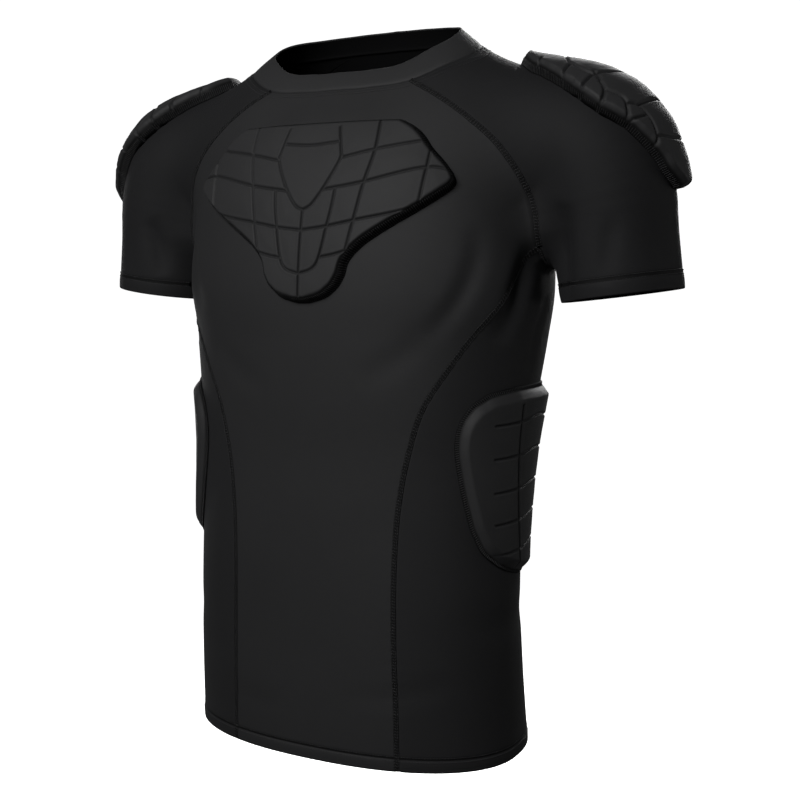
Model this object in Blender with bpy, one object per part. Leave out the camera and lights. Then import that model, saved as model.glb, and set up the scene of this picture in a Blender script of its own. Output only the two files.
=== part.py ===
"""Padded compression shirt, as it stands when worn: a raglan body with five foam pads.

Metres, +Z up. The front faces -Y and the wearer's left is +X. The origin is the centre of the neck
at the height of the shoulder points, where the wearer carries the shirt.

The cloth follows one smooth form, a general figure that is left out of the model. It is the smooth union
of a torso, read from a table of level sections, and a shoulder and arm tube. Rays cast from inside
the form find its skin, and every panel is a wall between that skin and a second one just inside it.
"""

import math

import bpy
import numpy as np
from mathutils import Vector
from mathutils.bvhtree import BVHTree

WALL = 0.002
SEAM_GAP = 0.0003
HEM_HEIGHT = -0.692
BAND_HEIGHT = 0.017
PAD_RIM = 0.002
CHEST_PAD_THICK = 0.009
CHEST_PAD_GAP = 0.0018
SHOULDER_PAD_THICK = 0.013
SHOULDER_PAD_GAP = 0.0021
RIB_PAD_THICK = 0.009
RIB_PAD_GAP = 0.0028
# A pad's gap is under its facets' corners. Between them it dips to about 0.3 mm over the cloth.

# How many facets each panel has across and along.
FRONT_COLUMNS = 16
SIDE_COLUMNS = 12
SLEEVE_COLUMNS = 12
BODY_ROWS = 10
UNDERARM_ROW = 0.979
RAGLAN_ROWS = 11
CUFF_ROWS = 3
BAND_ROWS = 2
PAD_COLUMNS = 10
SHOULDER_PAD_ROWS = 17
RIB_PAD_ROWS = 12
PAD_BEVEL = 0.06
PAD_REACH = 0.030

# How the form's skin is found: steps along a ray, halvings of the last one and probes for its slope.
RAY_LENGTH = 0.45
RAY_STEPS = 60
RAY_HALVINGS = 24
SLOPE_PROBE = 0.002
NORMAL_PROBE = 0.001

BLACK_KNIT = ("black_knit", (0.020, 0.020, 0.021), 0.62)
BLACK_MESH = ("black_side_knit", (0.016, 0.016, 0.017), 0.68)
BLACK_FOAM = ("black_pad_skin", (0.026, 0.026, 0.027), 0.50)

MIRROR = np.array([-1, 1, 1])
HANDS = (("left", 1), ("right", MIRROR))

# The torso's level sections. The centre is where a section is widest, and the front and back are
# measured from the neck's axis.
TORSO_COLUMNS = ("height", "half_width", "centre", "front", "back", "square")
TORSO = (
    (-0.780, 0.172, -0.018, 0.120, 0.106, 2.3),
    (-0.695, 0.172, -0.020, 0.120, 0.098, 2.3),
    (-0.620, 0.170, -0.026, 0.121, 0.084, 2.3),
    (-0.540, 0.168, -0.028, 0.121, 0.073, 2.3),
    (-0.460, 0.168, -0.022, 0.119, 0.080, 2.3),
    (-0.400, 0.170, -0.014, 0.118, 0.095, 2.3),
    (-0.350, 0.175, -0.007, 0.120, 0.108, 2.3),
    (-0.300, 0.181, 0.000, 0.122, 0.119, 2.3),
    (-0.255, 0.186, 0.000, 0.122, 0.124, 2.4),
    (-0.200, 0.183, 0.000, 0.116, 0.124, 2.4),
    (-0.150, 0.174, 0.000, 0.105, 0.119, 2.4),
    (-0.100, 0.156, 0.002, 0.085, 0.110, 2.3),
    (-0.075, 0.140, 0.004, 0.069, 0.101, 2.2),
    (-0.050, 0.120, 0.006, 0.053, 0.090, 2.1),
    (-0.020, 0.099, 0.008, 0.042, 0.074, 2.0),
    (0.010, 0.082, 0.010, 0.035, 0.060, 2.0),
    (0.040, 0.072, 0.010, 0.030, 0.050, 2.0),
)

# The shoulder and arm, as a tube that runs out from the neck and down to the cuff.
ARM_COLUMNS = ("along", "across", "deep", "height", "radius")
ARM = (
    (0.00, 0.100, 0.010, -0.092, 0.055),
    (0.20, 0.155, 0.012, -0.106, 0.057),
    (0.36, 0.195, 0.012, -0.116, 0.059),
    (0.52, 0.224, 0.012, -0.130, 0.061),
    (0.70, 0.241, 0.012, -0.165, 0.060),
    (0.84, 0.248, 0.013, -0.210, 0.057),
    (1.00, 0.265, 0.015, -0.320, 0.053),
)
ARM_STATIONS = 25
ARM_BLEND = 0.050

# Below the underarm the sleeve and the body no longer run into each other.
UNDERARM_HEIGHT = -0.255
UNDERARM_BLEND = 0.004
BLEND_FADE = 0.060

# The side panel's two seams, as bearings round the body's axis from the wearer's left.
SIDE_SEAM_COLUMNS = ("height", "front", "back")
SIDE_SEAMS = (
    (-0.700, -51.0, 45.0),
    (-0.640, -51.5, 45.0),
    (-0.570, -52.3, 45.0),
    (-0.500, -52.0, 45.0),
    (-0.450, -50.5, 44.5),
    (-0.400, -47.0, 43.0),
    (-0.355, -42.0, 39.0),
    (-0.325, -35.5, 34.0),
    (-0.295, -28.5, 28.0),
    (-0.265, -20.5, 22.5),
    (-0.235, -14.0, 17.5),
    (-0.200, -8.0, 13.5),
)

# The raglan seams as the front and the back view show them, from below the neckband to the underarm.
RAGLAN_COLUMNS = ("along", "across", "height")
RAGLAN_FRONT = (
    (0.15, 0.106, -0.080),
    (0.34, 0.138, -0.103),
    (0.52, 0.163, -0.127),
    (0.68, 0.180, -0.155),
    (0.84, 0.189, -0.185),
    (1.00, 0.190, -0.215),
)
RAGLAN_BACK = (
    (0.15, 0.080, -0.030),
    (0.34, 0.115, -0.063),
    (0.52, 0.145, -0.100),
    (0.68, 0.168, -0.138),
    (0.84, 0.184, -0.176),
    (1.00, 0.190, -0.206),
)

# The neckband's seam, by its bearing round the axis from the wearer's left.
NECK_COLUMNS = ("bearing", "height")
NECK_SEAM = (
    (-90.0, -0.0680),
    (-60.0, -0.0675),
    (-37.0, -0.0630),
    (-18.0, -0.0460),
    (5.0, -0.0260),
    (30.0, -0.0170),
    (53.0, -0.0130),
    (90.0, -0.0110),
)
RAGLAN_FRONT_BEARING = -37.0
RAGLAN_BACK_BEARING = 53.0

# The sleeve's rows fan out round a point inside the shoulder.
FAN_CENTRE = (0.170, 0.012, -0.170)
FAN_END = -8.0
RIDGE_SHARE = 0.35
CUFF_CENTRE = (0.2555, 0.0137, -0.2575)
CUFF_TILT = 0.13
CUFF_TO_ARMHOLE = (-0.008, 0, 0.045)

CHEST_PAD_COLUMNS = ("height", "half_width")
CHEST_PAD = (
    (-0.1020, 0.080),
    (-0.1060, 0.088),
    (-0.1300, 0.112),
    (-0.1480, 0.129),
    (-0.1580, 0.136),
    (-0.1670, 0.131),
    (-0.1820, 0.108),
    (-0.2000, 0.079),
    (-0.2150, 0.057),
    (-0.2270, 0.046),
    (-0.2420, 0.041),
    (-0.2540, 0.032),
    (-0.2620, 0.018),
    (-0.2650, 0.006),
)

# The shoulder pad is a leaf along the ridge of the shoulder, spread by fans at each depth.
SHOULDER_PAD_CENTRE = (0.200, 0.012, -0.150)
SHOULDER_PAD_COLUMNS = ("fan", "half_width")
SHOULDER_PAD = (
    (112.0, 0.010),
    (108.0, 0.022),
    (98.0, 0.032),
    (85.0, 0.040),
    (62.0, 0.048),
    (41.0, 0.048),
    (27.0, 0.042),
    (16.0, 0.036),
    (6.0, 0.028),
    (-3.0, 0.019),
    (-8.0, 0.007),
)

RIB_PAD_COLUMNS = ("height", "front", "back")
RIB_PAD = (
    (-0.3400, -20.0, 22.0),
    (-0.3450, -28.0, 27.0),
    (-0.3600, -31.5, 30.0),
    (-0.3900, -32.5, 31.0),
    (-0.4200, -31.5, 30.5),
    (-0.4500, -29.5, 29.0),
    (-0.4750, -27.0, 27.0),
    (-0.4970, -22.0, 22.0),
    (-0.5120, -13.0, 14.0),
    (-0.5180, -6.0, 6.0),
)


def column(table, columns, name, at):
    """A named column of a table at any value of its first one, by a cubic through its rows."""
    rows = np.array(table)
    order = np.argsort(rows[:, 0])
    place = rows[order, 0]
    value = rows[order, columns.index(name)]
    slope = np.gradient(value, place)
    at = np.clip(at, place[0], place[-1])
    i = np.clip(np.searchsorted(place, at) - 1, 0, len(place) - 2)
    step = place[i + 1] - place[i]
    t = (at - place[i]) / step
    rise = value[i + 1] - value[i]
    bend = (1 - t) * (slope[i] * step - rise) + t * (rise - slope[i + 1] * step)
    return value[i] + t * rise + t * (1 - t) * bend


def smooth_union(first, second, width):
    share = np.clip(0.5 + 0.5 * (second - first) / width, 0, 1)
    return second + (first - second) * share - width * share * (1 - share)


def torso_reach(x, y, height):
    """How far the torso's skin is from its section's centre, towards (x, y)."""
    half_width, front, back, square = (
        column(TORSO, TORSO_COLUMNS, name, height)
        for name in ("half_width", "front", "back", "square")
    )
    centre = column(TORSO, TORSO_COLUMNS, "centre", height)
    deep = np.where(y < 0, front + centre, back - centre)
    across = np.abs(x) / half_width
    along = np.abs(y) / deep
    return np.hypot(x, y) / (across**square + along**square + 1e-12) ** (1 / square)


def torso_distance(p):
    height = p[:, 2]
    x = p[:, 0]
    y = p[:, 1] - column(TORSO, TORSO_COLUMNS, "centre", height)
    reach = torso_reach(x, y, height)
    slope = (torso_reach(x, y, height + SLOPE_PROBE) - reach) / SLOPE_PROBE
    return (np.hypot(x, y) - reach) / np.sqrt(1 + slope**2)


def arm_distance(p):
    """Distance to the tube on either side: the point is taken to the wearer's left first."""
    q = np.column_stack([np.abs(p[:, 0]), p[:, 1:]])
    along = np.linspace(0, 1, ARM_STATIONS)
    knots = np.stack(
        [column(ARM, ARM_COLUMNS, name, along) for name in ("across", "deep", "height")], axis=1
    )
    radii = column(ARM, ARM_COLUMNS, "radius", along)
    nearest = np.full(len(q), np.inf)
    for start, end, thick, thick_end in zip(knots[:-1], knots[1:], radii[:-1], radii[1:]):
        step = end - start
        t = np.clip((q - start) @ step / (step @ step), 0, 1)
        far = np.linalg.norm(q - start - t[:, None] * step, axis=1)
        nearest = np.minimum(nearest, far - thick - t * (thick_end - thick))
    return nearest


def form(p):
    """Signed distance to the form's skin, negative inside."""
    fade = np.clip((p[:, 2] - UNDERARM_HEIGHT) / BLEND_FADE, 0, 1)
    fade = fade * fade * (3 - 2 * fade)
    width = UNDERARM_BLEND + (ARM_BLEND - UNDERARM_BLEND) * fade
    return smooth_union(torso_distance(p), arm_distance(p), width)


def normals(p):
    steps = np.eye(3) * NORMAL_PROBE
    rise = np.stack([form(p + step) - form(p - step) for step in steps], axis=1)
    return rise / np.linalg.norm(rise, axis=1, keepdims=True)


def cast(starts, directions):
    """The first point of the skin on each ray from inside the form."""
    starts, directions = np.broadcast_arrays(np.atleast_2d(starts), np.atleast_2d(directions))
    directions = directions / np.linalg.norm(directions, axis=1, keepdims=True)
    low = np.zeros(len(starts))
    high = np.full(len(starts), RAY_LENGTH)
    found = np.zeros(len(starts), bool)
    for t in np.linspace(0, RAY_LENGTH, RAY_STEPS)[1:]:
        outside = form(starts + t * directions) > 0
        high = np.where(outside & ~found, t, high)
        found |= outside
        low = np.where(found, low, t)
    for _ in range(RAY_HALVINGS):
        middle = (low + high) / 2
        outside = form(starts + middle[:, None] * directions) > 0
        high = np.where(outside, middle, high)
        low = np.where(outside, low, middle)
    return starts + high[:, None] * directions


def on_bearing(bearing, height):
    """The skin at a bearing round the body's axis, at a height."""
    turn = np.radians(np.atleast_1d(bearing))
    height = np.broadcast_to(height, turn.shape)
    starts = np.stack([0 * turn, 0 * turn, height], axis=1)
    return cast(starts, np.stack([np.cos(turn), np.sin(turn), 0 * turn], axis=1))


def seen_from(side, across, height):
    """The skin at a place of the front view (side -1) or the back view (side 1)."""
    across = np.atleast_1d(across)
    height = np.broadcast_to(height, across.shape)
    starts = np.stack([across, 0 * across, height], axis=1)
    return cast(starts, [0, side, 0])


def bearing_of(p):
    return np.degrees(np.arctan2(p[..., 1], p[..., 0]))


def neck_seam(bearing):
    """The neckband's seam. Bearings past the front or the back fold over to the wearer's right."""
    from_front = (np.atleast_1d(bearing) + 90) % 360
    folded = np.minimum(from_front, 360 - from_front) - 90
    return on_bearing(bearing, column(NECK_SEAM, NECK_COLUMNS, "height", folded))


def raglan(table, side, start, rows):
    """A raglan seam's points, from its start on the neckband's seam to the underarm."""
    whole = ((0.0, start[0], start[2]),) + table
    along = np.linspace(0, 1, rows + 1)
    across = column(whole, RAGLAN_COLUMNS, "across", along)
    points = seen_from(side, across, column(whole, RAGLAN_COLUMNS, "height", along))
    points[0] = start
    return points


def body_heights(top):
    """How high the rows of the body are, up to an underarm point. The last two are close together."""
    along = np.append(np.linspace(0, UNDERARM_ROW, BODY_ROWS), 1)
    return HEM_HEIGHT + (top - HEM_HEIGHT) * along


def side_seam(edge, underarm):
    """A side panel's front or back seam, from the hem up to its underarm point."""
    height = body_heights(underarm[2])
    points = on_bearing(column(SIDE_SEAMS, SIDE_SEAM_COLUMNS, edge, height), height)
    points[-1] = underarm
    return points


def underarm_arch(front, back):
    """The bottom of the armhole, which the side panel and the sleeve share."""
    share = np.linspace(0, 1, SIDE_COLUMNS + 1)[:, None]
    starts = front + (back - front) * share
    starts[:, 2] = FAN_CENTRE[2]
    arch = cast(starts, [0, 0, -1])
    arch[0] = front
    arch[-1] = back
    return arch


def body_rows(edge, middle):
    """The front (middle -90) or the back (middle 90), row by row from the hem to the neckband."""
    spread = np.linspace(-1, 1, FRONT_COLUMNS + 1)
    rows = []
    for point in edge:
        row = on_bearing(middle + spread * (bearing_of(point) - middle), point[2])
        row[-1] = point
        row[0] = point * MIRROR
        rows.append(row)
    rows[-1] = neck_seam(middle + spread * (bearing_of(edge[-1]) - middle))
    return np.array(rows)


def side_rows(front, back, arch):
    share = np.linspace(0, 1, SIDE_COLUMNS + 1)
    front_turn = bearing_of(front)
    back_turn = bearing_of(back)
    levels = np.array([body_heights(top) for top in arch[:, 2]]).T
    rows = []
    for r, heights in enumerate(levels[:-1]):
        row = on_bearing(front_turn[r] + (back_turn[r] - front_turn[r]) * share, heights)
        row[0] = front[r]
        row[-1] = back[r]
        rows.append(row)
    return np.array(rows + [arch])


def turned(first, second, share):
    """Directions from one to another, in even turns."""
    first = first / np.linalg.norm(first)
    second = second / np.linalg.norm(second)
    angle = np.arccos(np.clip(first @ second, -1, 1))
    share = share[:, None]
    return (np.sin((1 - share) * angle) * first + np.sin(share * angle) * second) / np.sin(angle)


def sleeve_arcs(front, back):
    """The sleeve's rows from the neckband to the underarm, each over the ridge of the shoulder."""
    half = SLEEVE_COLUMNS // 2
    share = np.linspace(0, 1, half + 1)
    bearings = np.linspace(RAGLAN_FRONT_BEARING, RAGLAN_BACK_BEARING, SLEEVE_COLUMNS + 1)
    rows = [neck_seam(bearings)]
    centre = np.array(FAN_CENTRE)
    start = rows[0][half] - centre
    fans = np.linspace(math.degrees(math.atan2(start[2], start[0])), FAN_END, RAGLAN_ROWS + 1)
    for fan, first, last in zip(np.radians(fans[1:]), front[1:], back[1:]):
        ridge = cast(centre, [math.cos(fan), 0, math.sin(fan)])[0]
        heart = (first + last) / 2 * (1 - RIDGE_SHARE) + ridge * RIDGE_SHARE
        rise = turned(first - heart, ridge - heart, share)
        fall = turned(ridge - heart, last - heart, share[1:])
        row = cast(heart, np.concatenate([rise, fall]))
        row[0] = first
        row[-1] = last
        rows.append(row)
    return np.array(rows)


def cuff_rings(arc, arch):
    """The closed rows from the underarm to the cuff's edge."""
    first = np.concatenate([arc, arch[-2:0:-1]])
    centre = np.array(CUFF_CENTRE)
    front_turn, back_turn = (
        math.degrees(math.atan2(p[1] - centre[1], p[0] - centre[0])) for p in (arc[0], arc[-1])
    )
    over = np.linspace(front_turn, back_turn, SLEEVE_COLUMNS + 1)
    under = np.linspace(back_turn, front_turn + 360, SIDE_COLUMNS + 1)[1:-1]
    turn = np.radians(np.concatenate([over, under]))
    directions = np.stack([np.cos(turn), np.sin(turn), CUFF_TILT * np.cos(turn)], axis=1)
    cuff = cast(centre, directions)
    start = centre + CUFF_TO_ARMHOLE
    rings = []
    for share in np.linspace(0, 1, CUFF_ROWS + 1)[1:-1]:
        heart = start + (centre - start) * share
        rings.append(cast(heart, first + (cuff - first) * share - heart))
    return np.array([first] + rings + [cuff])


def sleeve_tube(arcs, rings):
    """The sleeve as one surface: its open rows, then its closed ones. Returns the cuff's edge too."""
    open_rows, across = arcs.shape[:2]
    around = rings.shape[1]
    below = (open_rows - 1) * across
    faces = grid_faces(open_rows - 1, across)
    last = below - across
    faces += [(last + c, last + c + 1, below + c + 1, below + c) for c in range(across - 1)]
    faces += grid_faces(len(rings), around, start=below, closed=True)
    points = np.concatenate([arcs[:-1].reshape(-1, 3), rings.reshape(-1, 3)])
    return points, faces, range(len(points) - around, len(points))


def grid_faces(rows, columns, start=0, closed=False):
    across = columns if closed else columns - 1
    return [
        (
            start + r * columns + c,
            start + r * columns + (c + 1) % columns,
            start + (r + 1) * columns + (c + 1) % columns,
            start + (r + 1) * columns + c,
        )
        for r in range(rows - 1)
        for c in range(across)
    ]


def rim_of(faces):
    """The edges that only one face uses, each in that face's order."""
    edges = [(f[i], f[(i + 1) % len(f)]) for f in faces for i in range(len(f))]
    known = set(edges)
    return [edge for edge in edges if edge[::-1] not in known]


def drawn_in(points, faces, free):
    """Points with the rim's drawn in by half a seam's gap. The free ones, at a hem, stay."""
    rim = rim_of(faces)
    along = np.zeros_like(points)
    inward = np.zeros_like(points)
    for a, b in rim:
        along[a] += points[b] - points[a]
        along[b] += points[b] - points[a]
    on_rim = np.unique(rim)
    for face in faces:
        middle = points[list(face)].mean(axis=0)
        for corner in face:
            inward[corner] += middle - points[corner]
    moved = points.copy()
    for i in on_rim:
        if i in free:
            continue
        tangent = along[i] / np.linalg.norm(along[i])
        step = inward[i] - inward[i] @ tangent * tangent
        moved[i] += step / np.linalg.norm(step) * SEAM_GAP / 2
    return moved


def solid(name, outer, inner, faces, material):
    """A closed body between two skins of the same faces."""
    count = len(outer)
    walls = [(b, a, a + count, b + count) for a, b in rim_of(faces)]
    under = [tuple(i + count for i in reversed(face)) for face in faces]
    points = np.concatenate([outer, inner])
    whole = list(faces) + under + walls
    corners = [(f[0], f[i], f[i + 1]) for f in whole for i in range(1, len(f) - 1)]
    a, b, c = (points[[corner[i] for corner in corners]] for i in range(3))
    if np.einsum("ij,ij->i", a, np.cross(b, c)).sum() < 0:
        whole = [face[::-1] for face in whole]
    else:
        whole = [face[1:] + face[:1] for face in whole]
    mesh = bpy.data.meshes.new(name)
    mesh.from_pydata(points.tolist(), [], whole)
    mesh.materials.append(material)
    mesh.shade_smooth()
    body = bpy.data.objects.new(name, mesh)
    bpy.context.collection.objects.link(body)
    return body


def place_key(point):
    """A point's name, the same for the pieces that share it along a seam."""
    return tuple(np.round(point * 1e6).astype(int))


def shared_normals(pieces):
    """The facets' mean normal at each place, over all the pieces that meet there."""
    found = {}
    for points, faces in pieces:
        for face in faces:
            corners = points[list(face)]
            across = np.cross(corners[2] - corners[0], corners[3] - corners[1])
            across = across * np.sign(across @ normals(corners).sum(axis=0))
            for corner in corners:
                key = place_key(corner)
                found[key] = found.get(key, 0) + across
    return {key: total / np.linalg.norm(total) for key, total in found.items()}


def panel(name, points, faces, free, outward_at, material):
    """A wall of cloth under the form's skin. The rim's free points, at a hem, aren't drawn in."""
    outward = np.array([outward_at[place_key(point)] for point in points])
    outer = drawn_in(points, faces, set(free))
    return solid(name, outer, outer - WALL * outward, faces, material)


def pad(name, points, thick, gap, cloth, material):
    """A foam pad on a panel, from a grid of places. Its rim is thin and its face is proud."""
    rows, columns = points.shape[:2]
    outward = normals(points.reshape(-1, 3))
    skin = BVHTree.FromObject(cloth, bpy.context.evaluated_depsgraph_get())
    base = []
    for place, away in zip(points.reshape(-1, 3), outward):
        spot = skin.ray_cast(Vector(place + PAD_REACH * away), Vector(-away))[0]
        base.append(np.array(spot) + gap * away)
    base = np.array(base)
    height = np.full((rows, columns), thick)
    height[[0, -1]] = PAD_RIM
    height[:, [0, -1]] = PAD_RIM
    top = base + height.reshape(-1, 1) * outward
    return solid(name, top, base, grid_faces(rows, columns), material)


def pad_shares(count):
    """Even steps across a pad, with the first and the last one short for its bevel."""
    inner = np.linspace(PAD_BEVEL, 1 - PAD_BEVEL, count - 1)
    return np.concatenate([[0], inner, [1]])


def chest_pad_points():
    spread = 2 * pad_shares(PAD_COLUMNS) - 1
    rows = [seen_from(-1, spread * half, z) for z, half in CHEST_PAD]
    return np.array(rows)


def shoulder_pad_points():
    spread = 2 * pad_shares(PAD_COLUMNS) - 1
    fans = SHOULDER_PAD[0][0] + (SHOULDER_PAD[-1][0] - SHOULDER_PAD[0][0]) * pad_shares(SHOULDER_PAD_ROWS)
    halves = column(SHOULDER_PAD, SHOULDER_PAD_COLUMNS, "half_width", fans)
    rows = []
    for turn, half in zip(np.radians(fans), halves):
        starts = np.array(SHOULDER_PAD_CENTRE) + np.outer(spread * half, [0, 1, 0])
        rows.append(cast(starts, [math.cos(turn), 0, math.sin(turn)]))
    return np.array(rows)


def rib_pad_points():
    share = pad_shares(PAD_COLUMNS)
    heights = RIB_PAD[0][0] + (RIB_PAD[-1][0] - RIB_PAD[0][0]) * pad_shares(RIB_PAD_ROWS)
    front, back = (column(RIB_PAD, RIB_PAD_COLUMNS, edge, heights) for edge in ("front", "back"))
    return np.array([on_bearing(f + (b - f) * share, z) for z, f, b in zip(heights, front, back)])


def finish(name, colour, roughness):
    material = bpy.data.materials.new(name)
    material.use_nodes = True
    shader = material.node_tree.nodes["Principled BSDF"]
    shader.inputs["Base Color"].default_value = (*colour, 1)
    shader.inputs["Roughness"].default_value = roughness
    return material


def main():
    for old in list(bpy.data.objects):
        bpy.data.objects.remove(old)
    knit, side_knit, foam = (finish(*what) for what in (BLACK_KNIT, BLACK_MESH, BLACK_FOAM))
    start = neck_seam([RAGLAN_FRONT_BEARING, RAGLAN_BACK_BEARING])
    front_raglan = raglan(RAGLAN_FRONT, -1, start[0], RAGLAN_ROWS)
    back_raglan = raglan(RAGLAN_BACK, 1, start[1], RAGLAN_ROWS)
    arch = underarm_arch(front_raglan[-1], back_raglan[-1])
    front_seam = side_seam("front", front_raglan[-1])
    back_seam = side_seam("back", back_raglan[-1])

    front = body_rows(np.concatenate([front_seam, front_raglan[-2::-1]]), -90)
    back = body_rows(np.concatenate([back_seam, back_raglan[-2::-1]]), 90)
    side = side_rows(front_seam, back_seam, arch)
    arcs = sleeve_arcs(front_raglan, back_raglan)
    sleeve, sleeve_faces, cuff = sleeve_tube(arcs, cuff_rings(arcs[-1], arch))
    ring = np.concatenate([front[-1], arcs[0][1:], back[-1][-2::-1], (arcs[0] * MIRROR)[-2:0:-1]])
    lift = np.linspace(0, BAND_HEIGHT, BAND_ROWS + 1)
    band = [ring] + [on_bearing(bearing_of(ring), ring[:, 2] + rise) for rise in lift[1:]]
    band_faces = grid_faces(len(band), len(ring), closed=True)
    band_top = range(BAND_ROWS * len(ring), (BAND_ROWS + 1) * len(ring))

    body_hem = range(1, FRONT_COLUMNS)
    side_hem = range(1, SIDE_COLUMNS)
    pieces = [
        ("front", front.reshape(-1, 3), grid_faces(*front.shape[:2]), body_hem, knit),
        ("back", back.reshape(-1, 3), grid_faces(*back.shape[:2]), body_hem, knit),
        ("neckband", np.concatenate(band), band_faces, band_top, knit),
    ]
    for hand, turn in HANDS:
        side_points = side.reshape(-1, 3) * turn
        pieces.append((f"side_{hand}", side_points, grid_faces(*side.shape[:2]), side_hem, side_knit))
        pieces.append((f"sleeve_{hand}", sleeve * turn, sleeve_faces, cuff, knit))
    outward_at = shared_normals([piece[1:3] for piece in pieces])
    cloth = {
        name: panel(name, points, faces, free, outward_at, material)
        for name, points, faces, free, material in pieces
    }

    bpy.context.view_layer.update()
    chest = (CHEST_PAD_THICK, CHEST_PAD_GAP)
    shoulder = (SHOULDER_PAD_THICK, SHOULDER_PAD_GAP)
    rib = (RIB_PAD_THICK, RIB_PAD_GAP)
    pad("chest_pad", chest_pad_points(), *chest, cloth["front"], foam)
    for hand, turn in HANDS:
        sleeve_cloth = cloth[f"sleeve_{hand}"]
        side_cloth = cloth[f"side_{hand}"]
        pad(f"shoulder_pad_{hand}", shoulder_pad_points() * turn, *shoulder, sleeve_cloth, foam)
        pad(f"rib_pad_{hand}", rib_pad_points() * turn, *rib, side_cloth, foam)


if __name__ == "__main__":
    main()
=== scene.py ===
# %% [markdown]
# # A padded compression shirt
# The shirt is a tight short-sleeved top of elastic knit with five foam pads on it. It stands as when it is
# worn, with nobody in it. The CAD part gives every piece its place and its size. This lesson lays finer
# cloth, seams, stitches and pads over the same form, and then lights it like a product photograph.

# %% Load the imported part
import math

import bmesh
import bpy
import numpy as np
from mathutils import Matrix


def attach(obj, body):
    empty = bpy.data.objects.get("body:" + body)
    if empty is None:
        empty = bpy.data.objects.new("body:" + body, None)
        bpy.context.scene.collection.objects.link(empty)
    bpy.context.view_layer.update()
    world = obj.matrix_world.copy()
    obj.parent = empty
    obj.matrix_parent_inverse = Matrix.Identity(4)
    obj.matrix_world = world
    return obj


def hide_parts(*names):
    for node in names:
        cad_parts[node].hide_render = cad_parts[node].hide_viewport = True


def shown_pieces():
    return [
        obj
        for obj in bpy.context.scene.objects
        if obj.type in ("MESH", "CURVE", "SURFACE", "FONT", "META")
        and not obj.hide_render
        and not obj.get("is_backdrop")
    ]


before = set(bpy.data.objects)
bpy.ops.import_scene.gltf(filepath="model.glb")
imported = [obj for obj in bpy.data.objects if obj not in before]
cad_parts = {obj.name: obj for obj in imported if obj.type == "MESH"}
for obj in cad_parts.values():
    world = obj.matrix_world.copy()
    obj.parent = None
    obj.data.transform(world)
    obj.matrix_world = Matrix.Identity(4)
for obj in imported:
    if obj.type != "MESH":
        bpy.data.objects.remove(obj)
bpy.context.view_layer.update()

# %% [markdown]
# ## The camera and the room
# A product photographer stands about a metre and a quarter away with a short telephoto lens, a little to
# the wearer's left and barely above the chest. Black cloth goes grey in an evenly white room, so the room
# is dim. One big soft box in front lights the chest and lets both sides fall off. Weak ones keep the sides
# readable, and a broad one behind lights the back. The white around the shirt is a backdrop and a pale
# floor that shine for the camera alone.

# %% Place the camera
CAMERA_TURN = math.radians(27.5)
CAMERA_RISE = math.radians(5.8)
CAMERA_FAR = 1.22
CAMERA_SIDE = 0.031
CAMERA_HEIGHT = -0.24
LENS = 55.1

right = np.array([math.cos(CAMERA_TURN), math.sin(CAMERA_TURN), 0])
level = np.array([math.sin(CAMERA_TURN), -math.cos(CAMERA_TURN), 0])
back = level * math.cos(CAMERA_RISE) + np.array([0, 0, math.sin(CAMERA_RISE)])
up = np.cross(back, right)
stand = level * CAMERA_FAR + right * CAMERA_SIDE + np.array([0, 0, CAMERA_HEIGHT])


def seat(axes, place):
    """The matrix that puts an object at a place with its axes in these directions."""
    return Matrix([[*row, at] for row, at in zip(np.transpose(axes), place)] + [[0, 0, 0, 1]])


camera = bpy.data.objects.new("camera", bpy.data.cameras.new("camera"))
bpy.context.scene.collection.objects.link(camera)
camera.data.lens = LENS
camera.matrix_world = seat(np.array([right, up, back]), stand)
bpy.context.scene.camera = camera
bpy.context.scene.view_settings.view_transform = "Standard"
print("camera at", np.round(stand, 3))


# %% Hang the lights
def soft_box(name, place, aim, size, power):
    """A square area light that looks at a point of the shirt."""
    lamp = bpy.data.lights.new(name, "AREA")
    lamp.shape = "SQUARE"
    lamp.size = size
    lamp.energy = power
    box = bpy.data.objects.new(name, lamp)
    bpy.context.scene.collection.objects.link(box)
    axis = np.array(place, float) - np.array(aim, float)
    axis /= np.linalg.norm(axis)
    across = np.cross([0, 0, 1], axis)
    across /= np.linalg.norm(across)
    box.matrix_world = seat([across, np.cross(axis, across), axis], place)


CHEST = (0.0, 0.0, -0.30)
LIGHTS = (
    ("key_light", (-0.15, -1.95, 0.75), 1.1, 90.0),
    ("left_light", (1.9, 1.2, -0.20), 1.0, 7.0),
    ("right_light", (-1.9, 1.2, -0.20), 1.0, 7.0),
    ("back_light", (-0.3, 2.2, 0.6), 1.4, 85.0),
    ("low_fill", (0.6, -2.2, -0.9), 1.4, 2.5),
)
ROOM_LIGHT = 0.12
for light_name, place, size, power in LIGHTS:
    soft_box(light_name, place, CHEST, size, power)

world = bpy.data.worlds.new("white_room")
world.use_nodes = True
world.node_tree.nodes["Background"].inputs["Color"].default_value = (1, 1, 1, 1)
world.node_tree.nodes["Background"].inputs["Strength"].default_value = ROOM_LIGHT
bpy.context.scene.world = world
print("lights:", len(LIGHTS))

# %% Lay the floor and hang the backdrop
FLOOR_HEIGHT = -1.45
FLOOR_SIZE = 60.0
BACKDROP_RADIUS = 14.0
BACKDROP_SIDES = 48
STAGE_GLOW = 0.95


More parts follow.
